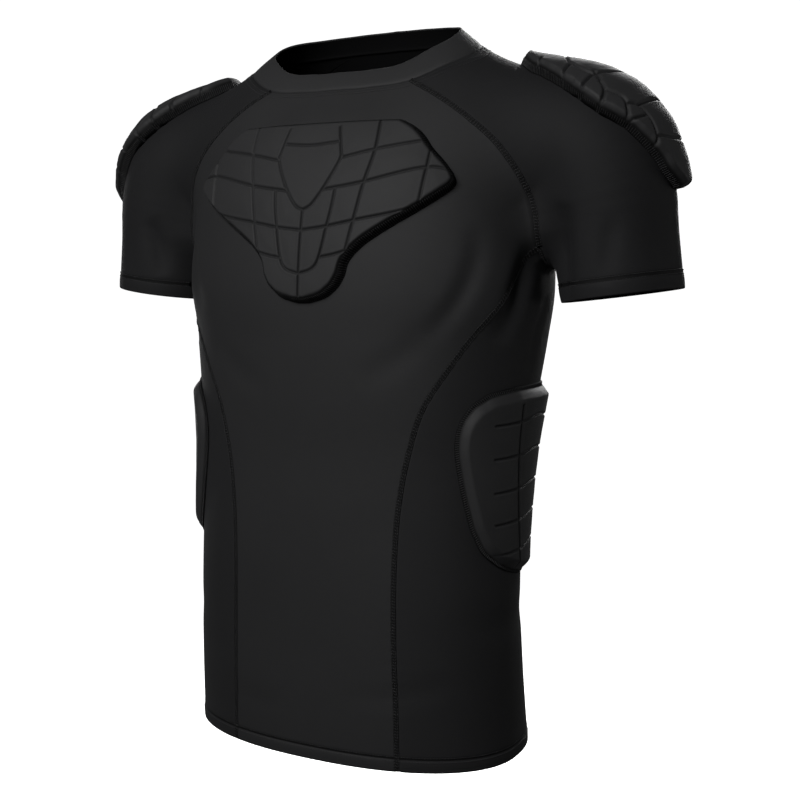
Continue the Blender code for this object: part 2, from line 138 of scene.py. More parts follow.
def stage_piece(name, build):
    """A white stage object that the camera sees and that doesn't light the shirt."""
    made = bmesh.new()
    build(made)
    mesh = bpy.data.meshes.new(name)
    made.to_mesh(mesh)
    made.free()
    paint = bpy.data.materials.new(name + "_paint")
    paint.use_nodes = True
    shader = paint.node_tree.nodes["Principled BSDF"]
    shader.inputs["Base Color"].default_value = (0.95, 0.95, 0.95, 1)
    shader.inputs["Roughness"].default_value = 0.9
    shader.inputs["Emission Color"].default_value = (1, 1, 1, 1)
    shader.inputs["Emission Strength"].default_value = STAGE_GLOW
    mesh.materials.append(paint)
    piece = bpy.data.objects.new(name, mesh)
    bpy.context.scene.collection.objects.link(piece)
    piece.visible_diffuse = False
    piece.visible_glossy = False
    piece.visible_shadow = False
    piece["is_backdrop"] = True


def lay_floor(made):
    half = FLOOR_SIZE / 2
    corners = ((-half, -half), (half, -half), (half, half), (-half, half))
    made.faces.new([made.verts.new((x, y, FLOOR_HEIGHT)) for x, y in corners])


def hang_dome(made):
    bmesh.ops.create_uvsphere(
        made, u_segments=BACKDROP_SIDES, v_segments=BACKDROP_SIDES // 2, radius=BACKDROP_RADIUS
    )


stage_piece("floor", lay_floor)
stage_piece("backdrop", hang_dome)
print("floor:", FLOOR_SIZE, "m wide at", FLOOR_HEIGHT, "backdrop radius:", BACKDROP_RADIUS)

# %% [markdown]
# ## The form under the cloth
# A stretched shirt takes the shape of a body. Draping cloth over a mannequin by simulation would need the
# mannequin and would wander from the CAD. Here the body is a formula: rounded level sections for the
# torso and a tube for each shoulder and arm, melted together. Any point of the cloth is found by
# shooting a ray at the formula's skin, so the cloth lies on the CAD part's own form.

# %% Read a table with a smooth curve
TORSO_COLUMNS = ("height", "half_width", "centre", "front", "back", "square")
TORSO = (
    (-0.780, 0.172, -0.018, 0.120, 0.106, 2.3),
    (-0.695, 0.172, -0.020, 0.120, 0.098, 2.3),
    (-0.620, 0.170, -0.026, 0.121, 0.084, 2.3),
    (-0.540, 0.168, -0.028, 0.121, 0.073, 2.3),
    (-0.460, 0.168, -0.022, 0.119, 0.080, 2.3),
    (-0.400, 0.170, -0.014, 0.118, 0.095, 2.3),
    (-0.350, 0.175, -0.007, 0.120, 0.108, 2.3),
    (-0.300, 0.181, 0.000, 0.122, 0.119, 2.3),
    (-0.255, 0.186, 0.000, 0.122, 0.124, 2.4),
    (-0.200, 0.183, 0.000, 0.116, 0.124, 2.4),
    (-0.150, 0.174, 0.000, 0.105, 0.119, 2.4),
    (-0.100, 0.156, 0.002, 0.085, 0.110, 2.3),
    (-0.075, 0.140, 0.004, 0.069, 0.101, 2.2),
    (-0.050, 0.120, 0.006, 0.053, 0.090, 2.1),
    (-0.020, 0.099, 0.008, 0.042, 0.074, 2.0),
    (0.010, 0.082, 0.010, 0.035, 0.060, 2.0),
    (0.040, 0.072, 0.010, 0.030, 0.050, 2.0),
)


def column(table, columns, name, at):
    """A named column of a table at any value of its first one, by a cubic through its rows."""
    rows = np.array(table)
    order = np.argsort(rows[:, 0])
    place = rows[order, 0]
    value = rows[order, columns.index(name)]
    slope = np.gradient(value, place)
    at = np.clip(at, place[0], place[-1])
    i = np.clip(np.searchsorted(place, at) - 1, 0, len(place) - 2)
    step = place[i + 1] - place[i]
    t = (at - place[i]) / step
    rise = value[i + 1] - value[i]
    bend = (1 - t) * (slope[i] * step - rise) + t * (rise - slope[i + 1] * step)
    return value[i] + t * rise + t * (1 - t) * bend


print("waist half width:", round(float(column(TORSO, TORSO_COLUMNS, "half_width", -0.5)), 4))

# %% Melt the torso and the arms together
ARM_COLUMNS = ("along", "across", "deep", "height", "radius")
ARM = (
    (0.00, 0.100, 0.010, -0.092, 0.055),
    (0.20, 0.155, 0.012, -0.106, 0.057),
    (0.36, 0.195, 0.012, -0.116, 0.059),
    (0.52, 0.224, 0.012, -0.130, 0.061),
    (0.70, 0.241, 0.012, -0.165, 0.060),
    (0.84, 0.248, 0.013, -0.210, 0.057),
    (1.00, 0.265, 0.015, -0.320, 0.053),
)
ARM_STATIONS = 25
ARM_BLEND = 0.050
UNDERARM_HEIGHT = -0.255
UNDERARM_BLEND = 0.004
BLEND_FADE = 0.060
SLOPE_PROBE = 0.002


def torso_reach(x, y, height):
    """How far the torso's skin is from its section's centre, towards (x, y)."""
    half_width, centre, front, back_depth, square = (
        column(TORSO, TORSO_COLUMNS, name, height)
        for name in ("half_width", "centre", "front", "back", "square")
    )
    deep = np.where(y < 0, front + centre, back_depth - centre)
    across = np.abs(x) / half_width
    along = np.abs(y) / deep
    return np.hypot(x, y) / (across**square + along**square + 1e-12) ** (1 / square)


def torso_distance(p):
    height = p[:, 2]
    x = p[:, 0]
    y = p[:, 1] - column(TORSO, TORSO_COLUMNS, "centre", height)
    reach = torso_reach(x, y, height)
    slope = (torso_reach(x, y, height + SLOPE_PROBE) - reach) / SLOPE_PROBE
    return (np.hypot(x, y) - reach) / np.sqrt(1 + slope**2)


def arm_distance(p):
    q = np.column_stack([np.abs(p[:, 0]), p[:, 1:]])
    along = np.linspace(0, 1, ARM_STATIONS)
    knots = np.stack([column(ARM, ARM_COLUMNS, name, along) for name in ARM_COLUMNS[1:4]], axis=1)
    radii = column(ARM, ARM_COLUMNS, "radius", along)
    nearest = np.full(len(q), np.inf)
    for start, end, thick, thick_end in zip(knots[:-1], knots[1:], radii[:-1], radii[1:]):
        step = end - start
        t = np.clip((q - start) @ step / (step @ step), 0, 1)
        far = np.linalg.norm(q - start - t[:, None] * step, axis=1)
        nearest = np.minimum(nearest, far - thick - t * (thick_end - thick))
    return nearest


def form(p):
    """Signed distance to the form's skin, negative inside."""
    fade = np.clip((p[:, 2] - UNDERARM_HEIGHT) / BLEND_FADE, 0, 1)
    fade = fade * fade * (3 - 2 * fade)
    width = UNDERARM_BLEND + (ARM_BLEND - UNDERARM_BLEND) * fade
    torso = torso_distance(p)
    arm = arm_distance(p)
    share = np.clip(0.5 + 0.5 * (arm - torso) / width, 0, 1)
    return arm + (torso - arm) * share - width * share * (1 - share)


print("distance at the heart:", np.round(form(np.array([[0, 0, -0.25]])), 4))

# %% [markdown]
# ## Shooting rays at the form
# A ray leaves a point inside the form. It steps outwards until it is outside, and then halves its last
# step until the skin is found. Bearings turn round the body's axis from the wearer's left, so -90 is
# the middle of the front. All the later steps ask for cloth by one of these three calls.

# %% Find the skin
RAY_LENGTH = 0.45
RAY_STEPS = 60
RAY_HALVINGS = 16
NORMAL_PROBE = 0.001


def normals(p):
    steps = np.eye(3) * NORMAL_PROBE
    rise = np.stack([form(p + step) - form(p - step) for step in steps], axis=1)
    return rise / np.linalg.norm(rise, axis=1, keepdims=True)


def cast(starts, directions):
    """The first point of the skin on each ray from inside the form."""
    starts, directions = np.broadcast_arrays(np.atleast_2d(starts), np.atleast_2d(directions))
    directions = directions / np.linalg.norm(directions, axis=1, keepdims=True)
    low = np.zeros(len(starts))
    high = np.full(len(starts), RAY_LENGTH)
    going = np.arange(len(starts))
    for t in np.linspace(0, RAY_LENGTH, RAY_STEPS)[1:]:
        outside = form(starts[going] + t * directions[going]) > 0
        high[going[outside]] = t
        going = going[~outside]
        low[going] = t
        if not len(going):
            break
    for _ in range(RAY_HALVINGS):
        middle = (low + high) / 2
        outside = form(starts + middle[:, None] * directions) > 0
        high = np.where(outside, middle, high)
        low = np.where(outside, low, middle)
    return starts + high[:, None] * directions


def on_bearing(bearing, height):
    """The skin at a bearing round the body's axis, at a height."""
    turn = np.radians(np.atleast_1d(bearing).astype(float))
    height = np.broadcast_to(height, turn.shape)
    starts = np.stack([0 * turn, 0 * turn, height], axis=1)
    return cast(starts, np.stack([np.cos(turn), np.sin(turn), 0 * turn], axis=1))


def seen_from(side, across, height):
    """The skin at a place of the front view (side -1) or the back view (side 1)."""
    across = np.atleast_1d(across).astype(float)
    height = np.broadcast_to(height, across.shape)
    starts = np.stack([across, 0 * across, height], axis=1)
    return cast(starts, [0, side, 0])


def bearing_of(p):
    return np.degrees(np.arctan2(p[..., 1], p[..., 0]))


print("middle of the chest:", np.round(seen_from(-1, 0, -0.2), 4))

# %% [markdown]
# ## The seams first
# A cutter draws the seams before the panels. The raglan seams run from the neckband to the underarm, the
# side seams sweep from the underarm down to the hem, and the armhole's bottom closes between them. They
# are worked out once, at the fine mesh's spacing, and every panel borrows its edge from them. The CAD part
# has a small sideways step where a side seam meets the raglan seam. Here the side seam bends over to it.

# %% Say where the seams run
HEM_HEIGHT = -0.692
BAND_HEIGHT = 0.017
SIDE_SEAM_COLUMNS = ("height", "front", "back")
SIDE_SEAMS = (
    (-0.700, -51.0, 45.0),
    (-0.640, -51.5, 45.0),
    (-0.570, -52.3, 45.0),
    (-0.500, -52.0, 45.0),
    (-0.450, -50.5, 44.5),
    (-0.400, -47.0, 43.0),
    (-0.355, -42.0, 39.0),
    (-0.325, -35.5, 34.0),
    (-0.295, -28.5, 28.0),
    (-0.265, -20.5, 22.5),
    (-0.235, -14.0, 17.5),
    (-0.200, -8.0, 13.5),
)
RAGLAN_COLUMNS = ("along", "across", "height")
RAGLAN_FRONT = (
    (0.15, 0.106, -0.080),
    (0.34, 0.138, -0.103),
    (0.52, 0.163, -0.127),
    (0.68, 0.180, -0.155),
    (0.84, 0.189, -0.185),
    (1.00, 0.190, -0.215),
)
RAGLAN_BACK = (
    (0.15, 0.080, -0.030),
    (0.34, 0.115, -0.063),
    (0.52, 0.145, -0.100),
    (0.68, 0.168, -0.138),
    (0.84, 0.184, -0.176),
    (1.00, 0.190, -0.206),
)
NECK_COLUMNS = ("bearing", "height")
NECK_SEAM = (
    (-90.0, -0.0680),
    (-60.0, -0.0675),
    (-37.0, -0.0630),
    (-18.0, -0.0460),
    (5.0, -0.0260),
    (30.0, -0.0170),
    (53.0, -0.0130),
    (90.0, -0.0110),
)
RAGLAN_FRONT_BEARING = -37.0
RAGLAN_BACK_BEARING = 53.0
FAN_CENTRE = np.array([0.170, 0.012, -0.170])
print("seams:", len(SIDE_SEAMS) + len(RAGLAN_FRONT) + len(RAGLAN_BACK), "rows of figures")

# %% Draw the seams
HEM_FOLD = 0.012
HEM_ROWS = 15
HEM_REACH = 0.0175
BODY_ROWS = 130
RAGLAN_ROWS = 62
SIDE_COLUMNS = 60
SEAM_EASE = 0.050


def neck_height(bearing):
    """How high the neckband's seam is. Bearings past the front or the back fold over."""
    from_front = (np.atleast_1d(bearing) + 90) % 360
    folded = np.minimum(from_front, 360 - from_front) - 90
    return column(NECK_SEAM, NECK_COLUMNS, "height", folded)


def neck_seam(bearing):
    return on_bearing(bearing, neck_height(bearing))


def raglan(table, side, start):
    """A raglan seam's points, from its start on the neckband's seam to the underarm."""
    whole = ((0.0, start[0], start[2]),) + table
    along = np.linspace(0, 1, RAGLAN_ROWS + 1)
    across = column(whole, RAGLAN_COLUMNS, "across", along)
    points = seen_from(side, across, column(whole, RAGLAN_COLUMNS, "height", along))
    points[0] = start
    return points


def body_heights(top):
    """How high the rows of the body are, up to an underarm point. They are close at the hem's fold."""
    above = HEM_HEIGHT + HEM_REACH
    fold = np.linspace(HEM_HEIGHT, above, HEM_ROWS + 1)
    return np.append(fold, above + (top - above) * np.linspace(0, 1, BODY_ROWS + 1)[1:])


def side_seam(edge, underarm):
    """A side seam's points from the hem up. Its last stretch bends over to the underarm point."""
    height = body_heights(underarm[2])
    bearing = column(SIDE_SEAMS, SIDE_SEAM_COLUMNS, edge, height)
    ease = np.clip(1 - (underarm[2] - height) / SEAM_EASE, 0, 1) ** 2
    step = bearing_of(underarm) - bearing[-1]
    points = on_bearing(bearing + step * ease, height)
    print(edge, "side seam eased by", round(float(step), 1), "degrees at the underarm")
    points[-1] = underarm
    return points


def underarm_arch(front, back_point):
    """The bottom of the armhole, which the side panel and the sleeve share."""
    share = np.linspace(0, 1, SIDE_COLUMNS + 1)[:, None]
    starts = front + (back_point - front) * share
    starts[:, 2] = FAN_CENTRE[2]
    arch = cast(starts, [0, 0, -1])
    arch[0] = front
    arch[-1] = back_point
    return arch


neck_starts = neck_seam([RAGLAN_FRONT_BEARING, RAGLAN_BACK_BEARING])
front_raglan = raglan(RAGLAN_FRONT, -1, neck_starts[0])
back_raglan = raglan(RAGLAN_BACK, 1, neck_starts[1])
arch = underarm_arch(front_raglan[-1], back_raglan[-1])
front_seam = side_seam("front", front_raglan[-1])
back_seam = side_seam("back", back_raglan[-1])


def run_of(points):
    """A line's length."""
    return np.linalg.norm(np.diff(points, axis=0), axis=1).sum()


print("raglan seams:", [round(run_of(line), 3) for line in (front_raglan, back_raglan)])
print("side seams:", [round(run_of(line), 3) for line in (front_seam, back_seam)])
print("arch:", round(run_of(arch), 3))

# %% [markdown]
# ## Creases one by one
# Stretched knit has few folds, and they are soft. They start where the cloth is pinched: at the armpits,
# in the hollow of the back, above the hem. A simulation gives even, nervous wrinkles, so each main crease
# is drawn here as a line on the form with its own width and depth. It is a trough with a low swell on both
# sides that fades at its ends. Close to a seam the stitching also gathers the cloth into small puckers.

# %% Draw smooth lines and measure distances to them
def smooth_line(points, spacing):
    """A Catmull-Rom curve through points, of any dimension, with a point about every spacing."""
    p = np.array(points, float)
    p = np.concatenate([[2 * p[0] - p[1]], p, [2 * p[-1] - p[-2]]])
    found = []
    for a, b, c, d in zip(p[:-3], p[1:-2], p[2:-1], p[3:]):
        count = max(2, int(np.linalg.norm(c - b) / spacing) + 1)
        t = np.linspace(0, 1, count, endpoint=False)[:, None]
        turn = (c - a) * t + (2 * a - 5 * b + 4 * c - d) * t**2 + (3 * b - a - 3 * c + d) * t**3
        found.append(b + turn / 2)
    return np.concatenate(found + [p[-2:-1]])


DISTANCE_BLOCK = 2000


def line_distance(p, line):
    """Each point's distance to a line of short straight runs, and how far along it that is."""
    start = line[:-1]
    step = np.diff(line, axis=0)
    size = np.linalg.norm(step, axis=1)
    before = np.concatenate([[0], np.cumsum(size)[:-1]])
    far = np.empty(len(p))
    along = np.empty(len(p))
    for first in range(0, len(p), DISTANCE_BLOCK):
        block = slice(first, first + DISTANCE_BLOCK)
        part = p[block]
        t = (np.einsum("pk,sk->ps", part, step) - np.einsum("sk,sk->s", start, step)) / size**2
        t = np.clip(t, 0, 1)
        gap = np.zeros_like(t)
        for axis in range(p.shape[1]):
            gap += (part[:, axis, None] - start[None, :, axis] - t * step[None, :, axis]) ** 2
        nearest = gap.argmin(axis=1)
        row = np.arange(len(part))
        far[block] = np.sqrt(gap[row, nearest])
        along[block] = before[nearest] + t[row, nearest] * size[nearest]
    return far, along


def close_to(p, line, reach):
    """Which points are inside a line's box, grown by a reach."""
    return np.all((p > line.min(axis=0) - reach) & (p < line.max(axis=0) + reach), axis=1)


def arm_skin(turn, height):
    """The sleeve's skin at a turn round the arm, from straight out, at a height."""
    turn = np.radians(np.atleast_1d(turn).astype(float))
    rows = [row for row in ARM if row[3] <= -0.130]
    level_rows = sorted((row[3], row[1], row[2]) for row in rows)
    names = ("height", "across", "deep")
    starts = np.stack([column(level_rows, names, name, height) for name in names[1:]], axis=-1)
    starts = np.column_stack([np.broadcast_to(starts, (len(turn), 2)), np.broadcast_to(height, len(turn))])
    return cast(starts, np.stack([np.cos(turn), np.sin(turn), 0 * turn], axis=1))


print("front of the sleeve:", np.round(arm_skin(-90, -0.22), 4))

# %% List the creases
MM = 0.001
LEFT = np.array([1, 1, 1])
RIGHT = np.array([-1, 1, 1])
# Where it lies, whose side, its width and depth in millimetres, and then turn and height of each point.
CREASES = (
    ("body", LEFT, 13, 7.5, ((-9, -0.212), (-12, -0.236), (-15, -0.262), (-20, -0.300))),
    ("body", LEFT, 12, 3.0, ((-27, -0.196), (-28, -0.226), (-33, -0.262), (-42, -0.296))),
    ("body", LEFT, 16, 1.3, ((-38, -0.282), (-50, -0.312), (-66, -0.336))),
    ("body", LEFT, 9, 1.6, ((2, -0.262), (-3, -0.292), (-6, -0.330))),
    ("body", LEFT, 11, 2.0, ((22, -0.236), (27, -0.262), (36, -0.292), (47, -0.312))),
    ("body", LEFT, 17, 1.1, ((-36, -0.548), (-18, -0.560), (4, -0.556), (24, -0.542))),
    ("body", LEFT, 13, 0.8, ((-30, -0.606), (-52, -0.622), (-72, -0.628))),
    ("body", LEFT, 15, 1.0, ((52, -0.604), (30, -0.618), (6, -0.612))),
    ("body", LEFT, 18, 1.4, ((44, -0.520), (66, -0.536), (92, -0.542), (118, -0.532))),
    ("body", LEFT, 14, 1.0, ((60, -0.566), (84, -0.578), (104, -0.574))),
    ("body", LEFT, 20, 0.9, ((66, -0.318), (84, -0.352), (98, -0.372))),
    ("body", RIGHT, 12, 4.4, ((-12, -0.214), (-16, -0.240), (-21, -0.272), (-23, -0.306))),
    ("body", RIGHT, 13, 1.8, ((-26, -0.200), (-29, -0.236), (-36, -0.276))),
    ("body", RIGHT, 15, 1.1, ((-40, -0.296), (-56, -0.330), (-70, -0.346))),
    ("body", RIGHT, 12, 1.8, ((20, -0.240), (26, -0.272), (38, -0.306))),
    ("body", RIGHT, 16, 1.0, ((-34, -0.566), (-10, -0.576), (16, -0.566))),
    ("body", RIGHT, 14, 0.8, ((-44, -0.636), (-64, -0.646), (-80, -0.640))),
    ("body", RIGHT, 18, 1.2, ((40, -0.500), (62, -0.512), (84, -0.508))),
    ("body", RIGHT, 15, 0.9, ((50, -0.600), (70, -0.612), (88, -0.606))),
    ("arm", LEFT, 14, 8.0, ((-116, -0.176), (-126, -0.206), (-134, -0.236), (-138, -0.264))),
    ("arm", LEFT, 10, 2.1, ((-72, -0.188), (-80, -0.216), (-88, -0.250))),
    ("arm", LEFT, 12, 0.9, ((-40, -0.196), (-28, -0.226), (-20, -0.252))),
    ("arm", LEFT, 10, 2.0, ((100, -0.180), (112, -0.206), (126, -0.236))),
    ("arm", LEFT, 13, 1.0, ((50, -0.192), (62, -0.222), (70, -0.250))),
    ("arm", RIGHT, 12, 4.0, ((-100, -0.180), (-110, -0.210), (-118, -0.240))),
    ("arm", RIGHT, 11, 1.2, ((-66, -0.182), (-70, -0.214), (-80, -0.246))),
    ("arm", RIGHT, 13, 0.9, ((-20, -0.186), (-8, -0.220), (2, -0.250))),
    ("arm", RIGHT, 10, 1.8, ((104, -0.184), (118, -0.214), (130, -0.238))),
)
CREASE_STEP = 0.004
CREASE_REACH = 3
CREASE_SWELL = 0.55
CREASE_FADE = 0.8


def crease_lines():
    made = []
    for where, hand, width, depth, points in CREASES:
        turns, heights = np.array(points).T
        skin = on_bearing(turns, heights) if where == "body" else arm_skin(turns, heights)
        made.append((smooth_line(skin * hand, CREASE_STEP), width * MM, depth * MM))
    return made


CREASE_LINES = crease_lines()


def crease_lift(p):
    """How far the creases push each point in, as a negative height over the form."""
    lift = np.zeros(len(p))
    for line, width, depth in CREASE_LINES:
        near = close_to(p, line, CREASE_REACH * width)
        if not near.any():
            continue
        far, along = line_distance(p[near], line)
        q = (far / width) ** 2
        fade = np.sin(np.pi * np.clip(along / run_of(line), 0, 1)) ** CREASE_FADE
        lift[near] -= depth * (1 - CREASE_SWELL * q) * np.exp(-q) * fade
    return lift


print("creases:", len(CREASE_LINES))

# %% Gather the cloth at the seams
PUCKER_DEPTH = 0.00030
PUCKER_REACH = 0.0055
PUCKER_LENGTH = 0.0105


def both_hands(line):
    return [line, line * RIGHT]


SEAMS = (front_raglan, back_raglan, front_seam, back_seam, arch)
SEAM_LINES = [line for seam in SEAMS for line in both_hands(seam)]


def pucker_lift(p):
    """Small gathers along the seams. Two slow waves change their pitch and depth, so no two are alike."""
    lift = np.zeros(len(p))
    for line in SEAM_LINES:
        near = close_to(p, line, 4 * PUCKER_REACH)
        if not near.any():
            continue
        far, along = line_distance(p[near], line)
        wave = np.sin(2 * np.pi * along / PUCKER_LENGTH + 2.1 * np.sin(along / 0.037))
        uneven = 0.65 + 0.35 * np.sin(along / 0.061 + 1.3)
        lift[near] += PUCKER_DEPTH * uneven * (wave - 0.8) * np.exp(-far / PUCKER_REACH)
    return lift


def cloth_lift(p):
    return crease_lift(p) + pucker_lift(p)


print("seam lines:", len(SEAM_LINES), "metres:", round(sum(run_of(line) for line in SEAM_LINES), 2))

# %% [markdown]
# ## Finishes
# Black elastic knit isn't one black. Its loops stand in fine upright wales, it has a dull sheen at grazing
# angles, and soft patches where it is stretched more. All finishes come from one recipe with different
# figures: a base colour broken by broad and fine noise, and a bump of wales and rows read from the
# panel's own flat cut, in metres, so the loops have the same size everywhere. The pads' skin is the same
# knit pressed smooth on foam. A mark on each pad's points darkens its wall and its grooves: painted shade.
# The sleeves, the cloth's inner side, the pads' borders and the seam tapes get darker figures of their own
# than the body. That darkness is painted shade too, for the shade that falls on them.


# %% Mix the finishes
def linked(tree, kind, settings=(), **inputs):
    """A node with some of its sockets set, or fed from another node's output."""
    node = tree.nodes.new(kind)
    for name, value in settings:
        setattr(node, name, value)
    for name, value in inputs.items():
        socket = node.inputs[int(name[1:])] if name[0] == "_" else node.inputs[name.replace("_", " ")]
        if isinstance(value, bpy.types.NodeSocket):
            tree.links.new(value, socket)
        else:
            socket.default_value = value
    return node


def times_plus(tree, first, times, plus):
    """A Math node that multiplies a value and adds another."""
    return linked(
        tree, "ShaderNodeMath", [("operation", "MULTIPLY_ADD")], _0=first, _1=times, _2=plus
    ).outputs[0]


def scaled(tree, colour, share):
    """A colour made darker or lighter by a share."""
    return linked(tree, "ShaderNodeVectorMath", [("operation", "SCALE")], _0=colour, Scale=share).outputs[0]


def bands(tree, flat_cut, way, period, distortion):
    """Ridges on the flat cut at every period. A wave texture of scale 1 has ten of them in pi metres."""
    settings = [("wave_type", "BANDS"), ("wave_profile", "SIN"), ("bands_direction", way)]
    scale = math.pi / (10 * period)
    return linked(
        tree, "ShaderNodeTexWave", settings, Vector=flat_cut, Scale=scale, Distortion=distortion, Detail=1.0
    ).outputs["Fac"]


ROW_PERIOD = 0.7
ROW_RELIEF = 0.45
FUZZ_RELIEF = 0.35
# How much darker a pad's wall and grooves are painted: painted shade.
WALL_PAINTED_SHADE = 0.92
GROOVE_PAINTED_SHADE = 0.45


def knit(name, colour, roughness, specular, sheen, wale, relief, patch=0.10, shade_marks=False):
    """A knit finish. The wale is the loop's width in metres, and the relief is its height."""
    paint = bpy.data.materials.new(name)
    paint.use_nodes = True
    tree = paint.node_tree
    shader = tree.nodes["Principled BSDF"]
    flat_cut = linked(tree, "ShaderNodeUVMap").outputs["UV"]
    place = linked(tree, "ShaderNodeTexCoord").outputs["Object"]
    broad = linked(tree, "ShaderNodeTexNoise", Vector=place, Scale=7.0, Detail=3.0, Roughness=0.55)
    fine = linked(tree, "ShaderNodeTexNoise", Vector=place, Scale=900.0, Detail=2.0)
    dark = (*(c * (1 - 2 * patch) for c in colour), 1)
    light = (*(c * (1 + 2 * patch) for c in colour), 1)
    tone = linked(tree, "ShaderNodeMix", [("data_type", "RGBA")], _0=broad.outputs["Fac"], _6=dark, _7=light)
    fuzz = linked(tree, "ShaderNodeMapRange", Value=fine.outputs["Fac"], To_Min=0.80, To_Max=1.20)
    surface = scaled(tree, tone.outputs[2], fuzz.outputs[0])
    wales = bands(tree, flat_cut, "X", wale, 0.6)
    rows = bands(tree, flat_cut, "Y", ROW_PERIOD * wale, 0.8)
    loops = times_plus(tree, rows, ROW_RELIEF, wales)
    height = times_plus(tree, fine.outputs["Fac"], FUZZ_RELIEF, loops)
    bump = linked(tree, "ShaderNodeBump", Strength=0.55, Distance=relief, Height=height)
    # A pad's wall and grooves are painted darker by the marks on its points: painted shade.
    if shade_marks:
        wall, groove = (
            linked(tree, "ShaderNodeAttribute", [("attribute_name", mark)]).outputs["Fac"]
            for mark in ("wall", "groove")
        )
        darker = times_plus(tree, wall, -WALL_PAINTED_SHADE, 1.0)
        pressed = times_plus(tree, groove, -GROOVE_PAINTED_SHADE, 1.0)
        both = linked(tree, "ShaderNodeMath", [("operation", "MULTIPLY")], _0=darker, _1=pressed)
        surface = scaled(tree, surface, both.outputs[0])
    tree.links.new(surface, shader.inputs["Base Color"])
    tree.links.new(bump.outputs["Normal"], shader.inputs["Normal"])
    shader.inputs["Roughness"].default_value = roughness
    shader.inputs["Specular IOR Level"].default_value = specular
    shader.inputs["Sheen Weight"].default_value = sheen
    shader.inputs["Sheen Roughness"].default_value = 0.55
    shader.inputs["Sheen Tint"].default_value = (0.55, 0.56, 0.58, 1)
    return paint


BLACK_KNIT = knit("black_knit", (0.0068, 0.0068, 0.0071), 0.66, 0.10, 0.012, 0.0009, 0.00010)
SIDE_KNIT = knit("black_side_knit", (0.0052, 0.0052, 0.0055), 0.68, 0.08, 0.010, 0.0009, 0.00012)
BAND_KNIT = knit("neckband_knit", (0.0080, 0.0080, 0.0083), 0.64, 0.11, 0.014, 0.0008, 0.00010)
# Darker knit for the sleeves: painted shade for the shade that falls on them.
SHADED_SLEEVE_KNIT = knit("sleeve_knit_painted_shade", (0.0046, 0.0046, 0.0049), 0.70, 0.07, 0.008, 0.0009, 0.00010)
# The pad's skin carries the painted shade on its walls and grooves.
PAD_SKIN = knit("pad_skin", (0.0092, 0.0092, 0.0095), 0.60, 0.08, 0.014, 0.0007, 0.00006, 0.06, True)
# Darker knit for the pads' borders: painted shade for the shade on the pads' walls.
SHADED_PAD_BORDER = knit("pad_border_painted_shade", (0.0020, 0.0020, 0.0021), 0.70, 0.03, 0.0, 0.0007, 0.00010)
# Darker knit for the cloth's inner side: painted shade for the shade inside the shirt.
SHADED_INNER_KNIT = knit("inner_knit_painted_shade", (0.0016, 0.0016, 0.0017), 0.80, 0.02, 0.0, 0.0009, 0.00010)
# Darker knit for the seam tapes: painted shade for the shadow lines along the seams.
SHADED_SEAM_TAPE = knit("seam_tape_painted_shade", (0.0022, 0.0022, 0.0023), 0.66, 0.05, 0.0, 0.0007, 0.00008)
THREAD = knit("black_thread", (0.0140, 0.0140, 0.0144), 0.50, 0.14, 0.010, 0.0004, 0.00003)
CLOTHS = (BLACK_KNIT, SIDE_KNIT, SHADED_SLEEVE_KNIT, BAND_KNIT, SHADED_INNER_KNIT)
TRIMS = (PAD_SKIN, SHADED_PAD_BORDER, SHADED_SEAM_TAPE, THREAD)
print("finishes:", [paint.name for paint in CLOTHS + TRIMS])

# %% [markdown]
# ## Cloth as a thin shell
# A single sheet of faces would look right from one side only, and the neck, hem and cuffs show the cloth's
# edge. So every panel is a closed shell: an outer skin, an inner skin a cloth's thickness below, and a
# rounded lip where the cloth ends in a fold. Its flat cut, unrolled in metres, is kept as its UV map.

# %% Build a shell from a grid of points
CLOTH = 0.0014
DOWN = (0, 0, -1)
UP = (0, 0, 1)


def grid_faces(rows, columns, start=0, closed=False):
    across = columns if closed else columns - 1
    return [
        (
            start + r * columns + c,
            start + r * columns + (c + 1) % columns,
            start + (r + 1) * columns + (c + 1) % columns,
            start + (r + 1) * columns + c,
        )
        for r in range(rows - 1)
        for c in range(across)
    ]


def rim_of(faces):
    """The edges that only one face uses, each in that face's order."""
    edges = [(f[i], f[(i + 1) % len(f)]) for f in faces for i in range(len(f))]
    known = set(edges)
    return [edge for edge in edges if edge[::-1] not in known]


def faces_out(points, faces):
    """The faces of a closed mesh, turned so that they look outwards."""
    corners = [(f[0], f[i], f[i + 1]) for f in faces for i in range(1, len(f) - 1)]
    a, b, c = (points[[corner[i] for corner in corners]] for i in range(3))
    if np.einsum("ij,ij->i", a, np.cross(b, c)).sum() < 0:
        return [face[::-1] for face in faces]
    return faces


def paint_faces(piece, paint, chosen):
    """A second finish for some of a piece's faces, named by their order."""
    piece.data.materials.append(paint)
    index = np.zeros(len(piece.data.polygons), np.int32)
    index[chosen] = len(piece.data.materials) - 1
    piece.data.polygons.foreach_set("material_index", index)


def keep_cut(mesh, flat_cut):
    """The flat cut as a UV map, in metres, for each corner of each face."""
    corner = np.empty(len(mesh.loops), np.int32)
    mesh.loops.foreach_get("vertex_index", corner)
    layer = mesh.uv_layers.new(name="flat_cut")
    layer.data.foreach_set("uv", flat_cut[corner].astype(np.float32).ravel())


def place_mesh(name, points, faces, paint, flat_cut):
    """A smooth mesh object in the scene, riding on the part's one body."""
    faces = faces_out(points, faces)
    mesh = bpy.data.meshes.new(name)
    mesh.from_pydata(points.tolist(), [], faces)
    mesh.materials.append(paint)
    mesh.shade_smooth()
    keep_cut(mesh, flat_cut)
    piece = bpy.data.objects.new(name, mesh)
    bpy.context.scene.collection.objects.link(piece)
    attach(piece, "root")
    return piece


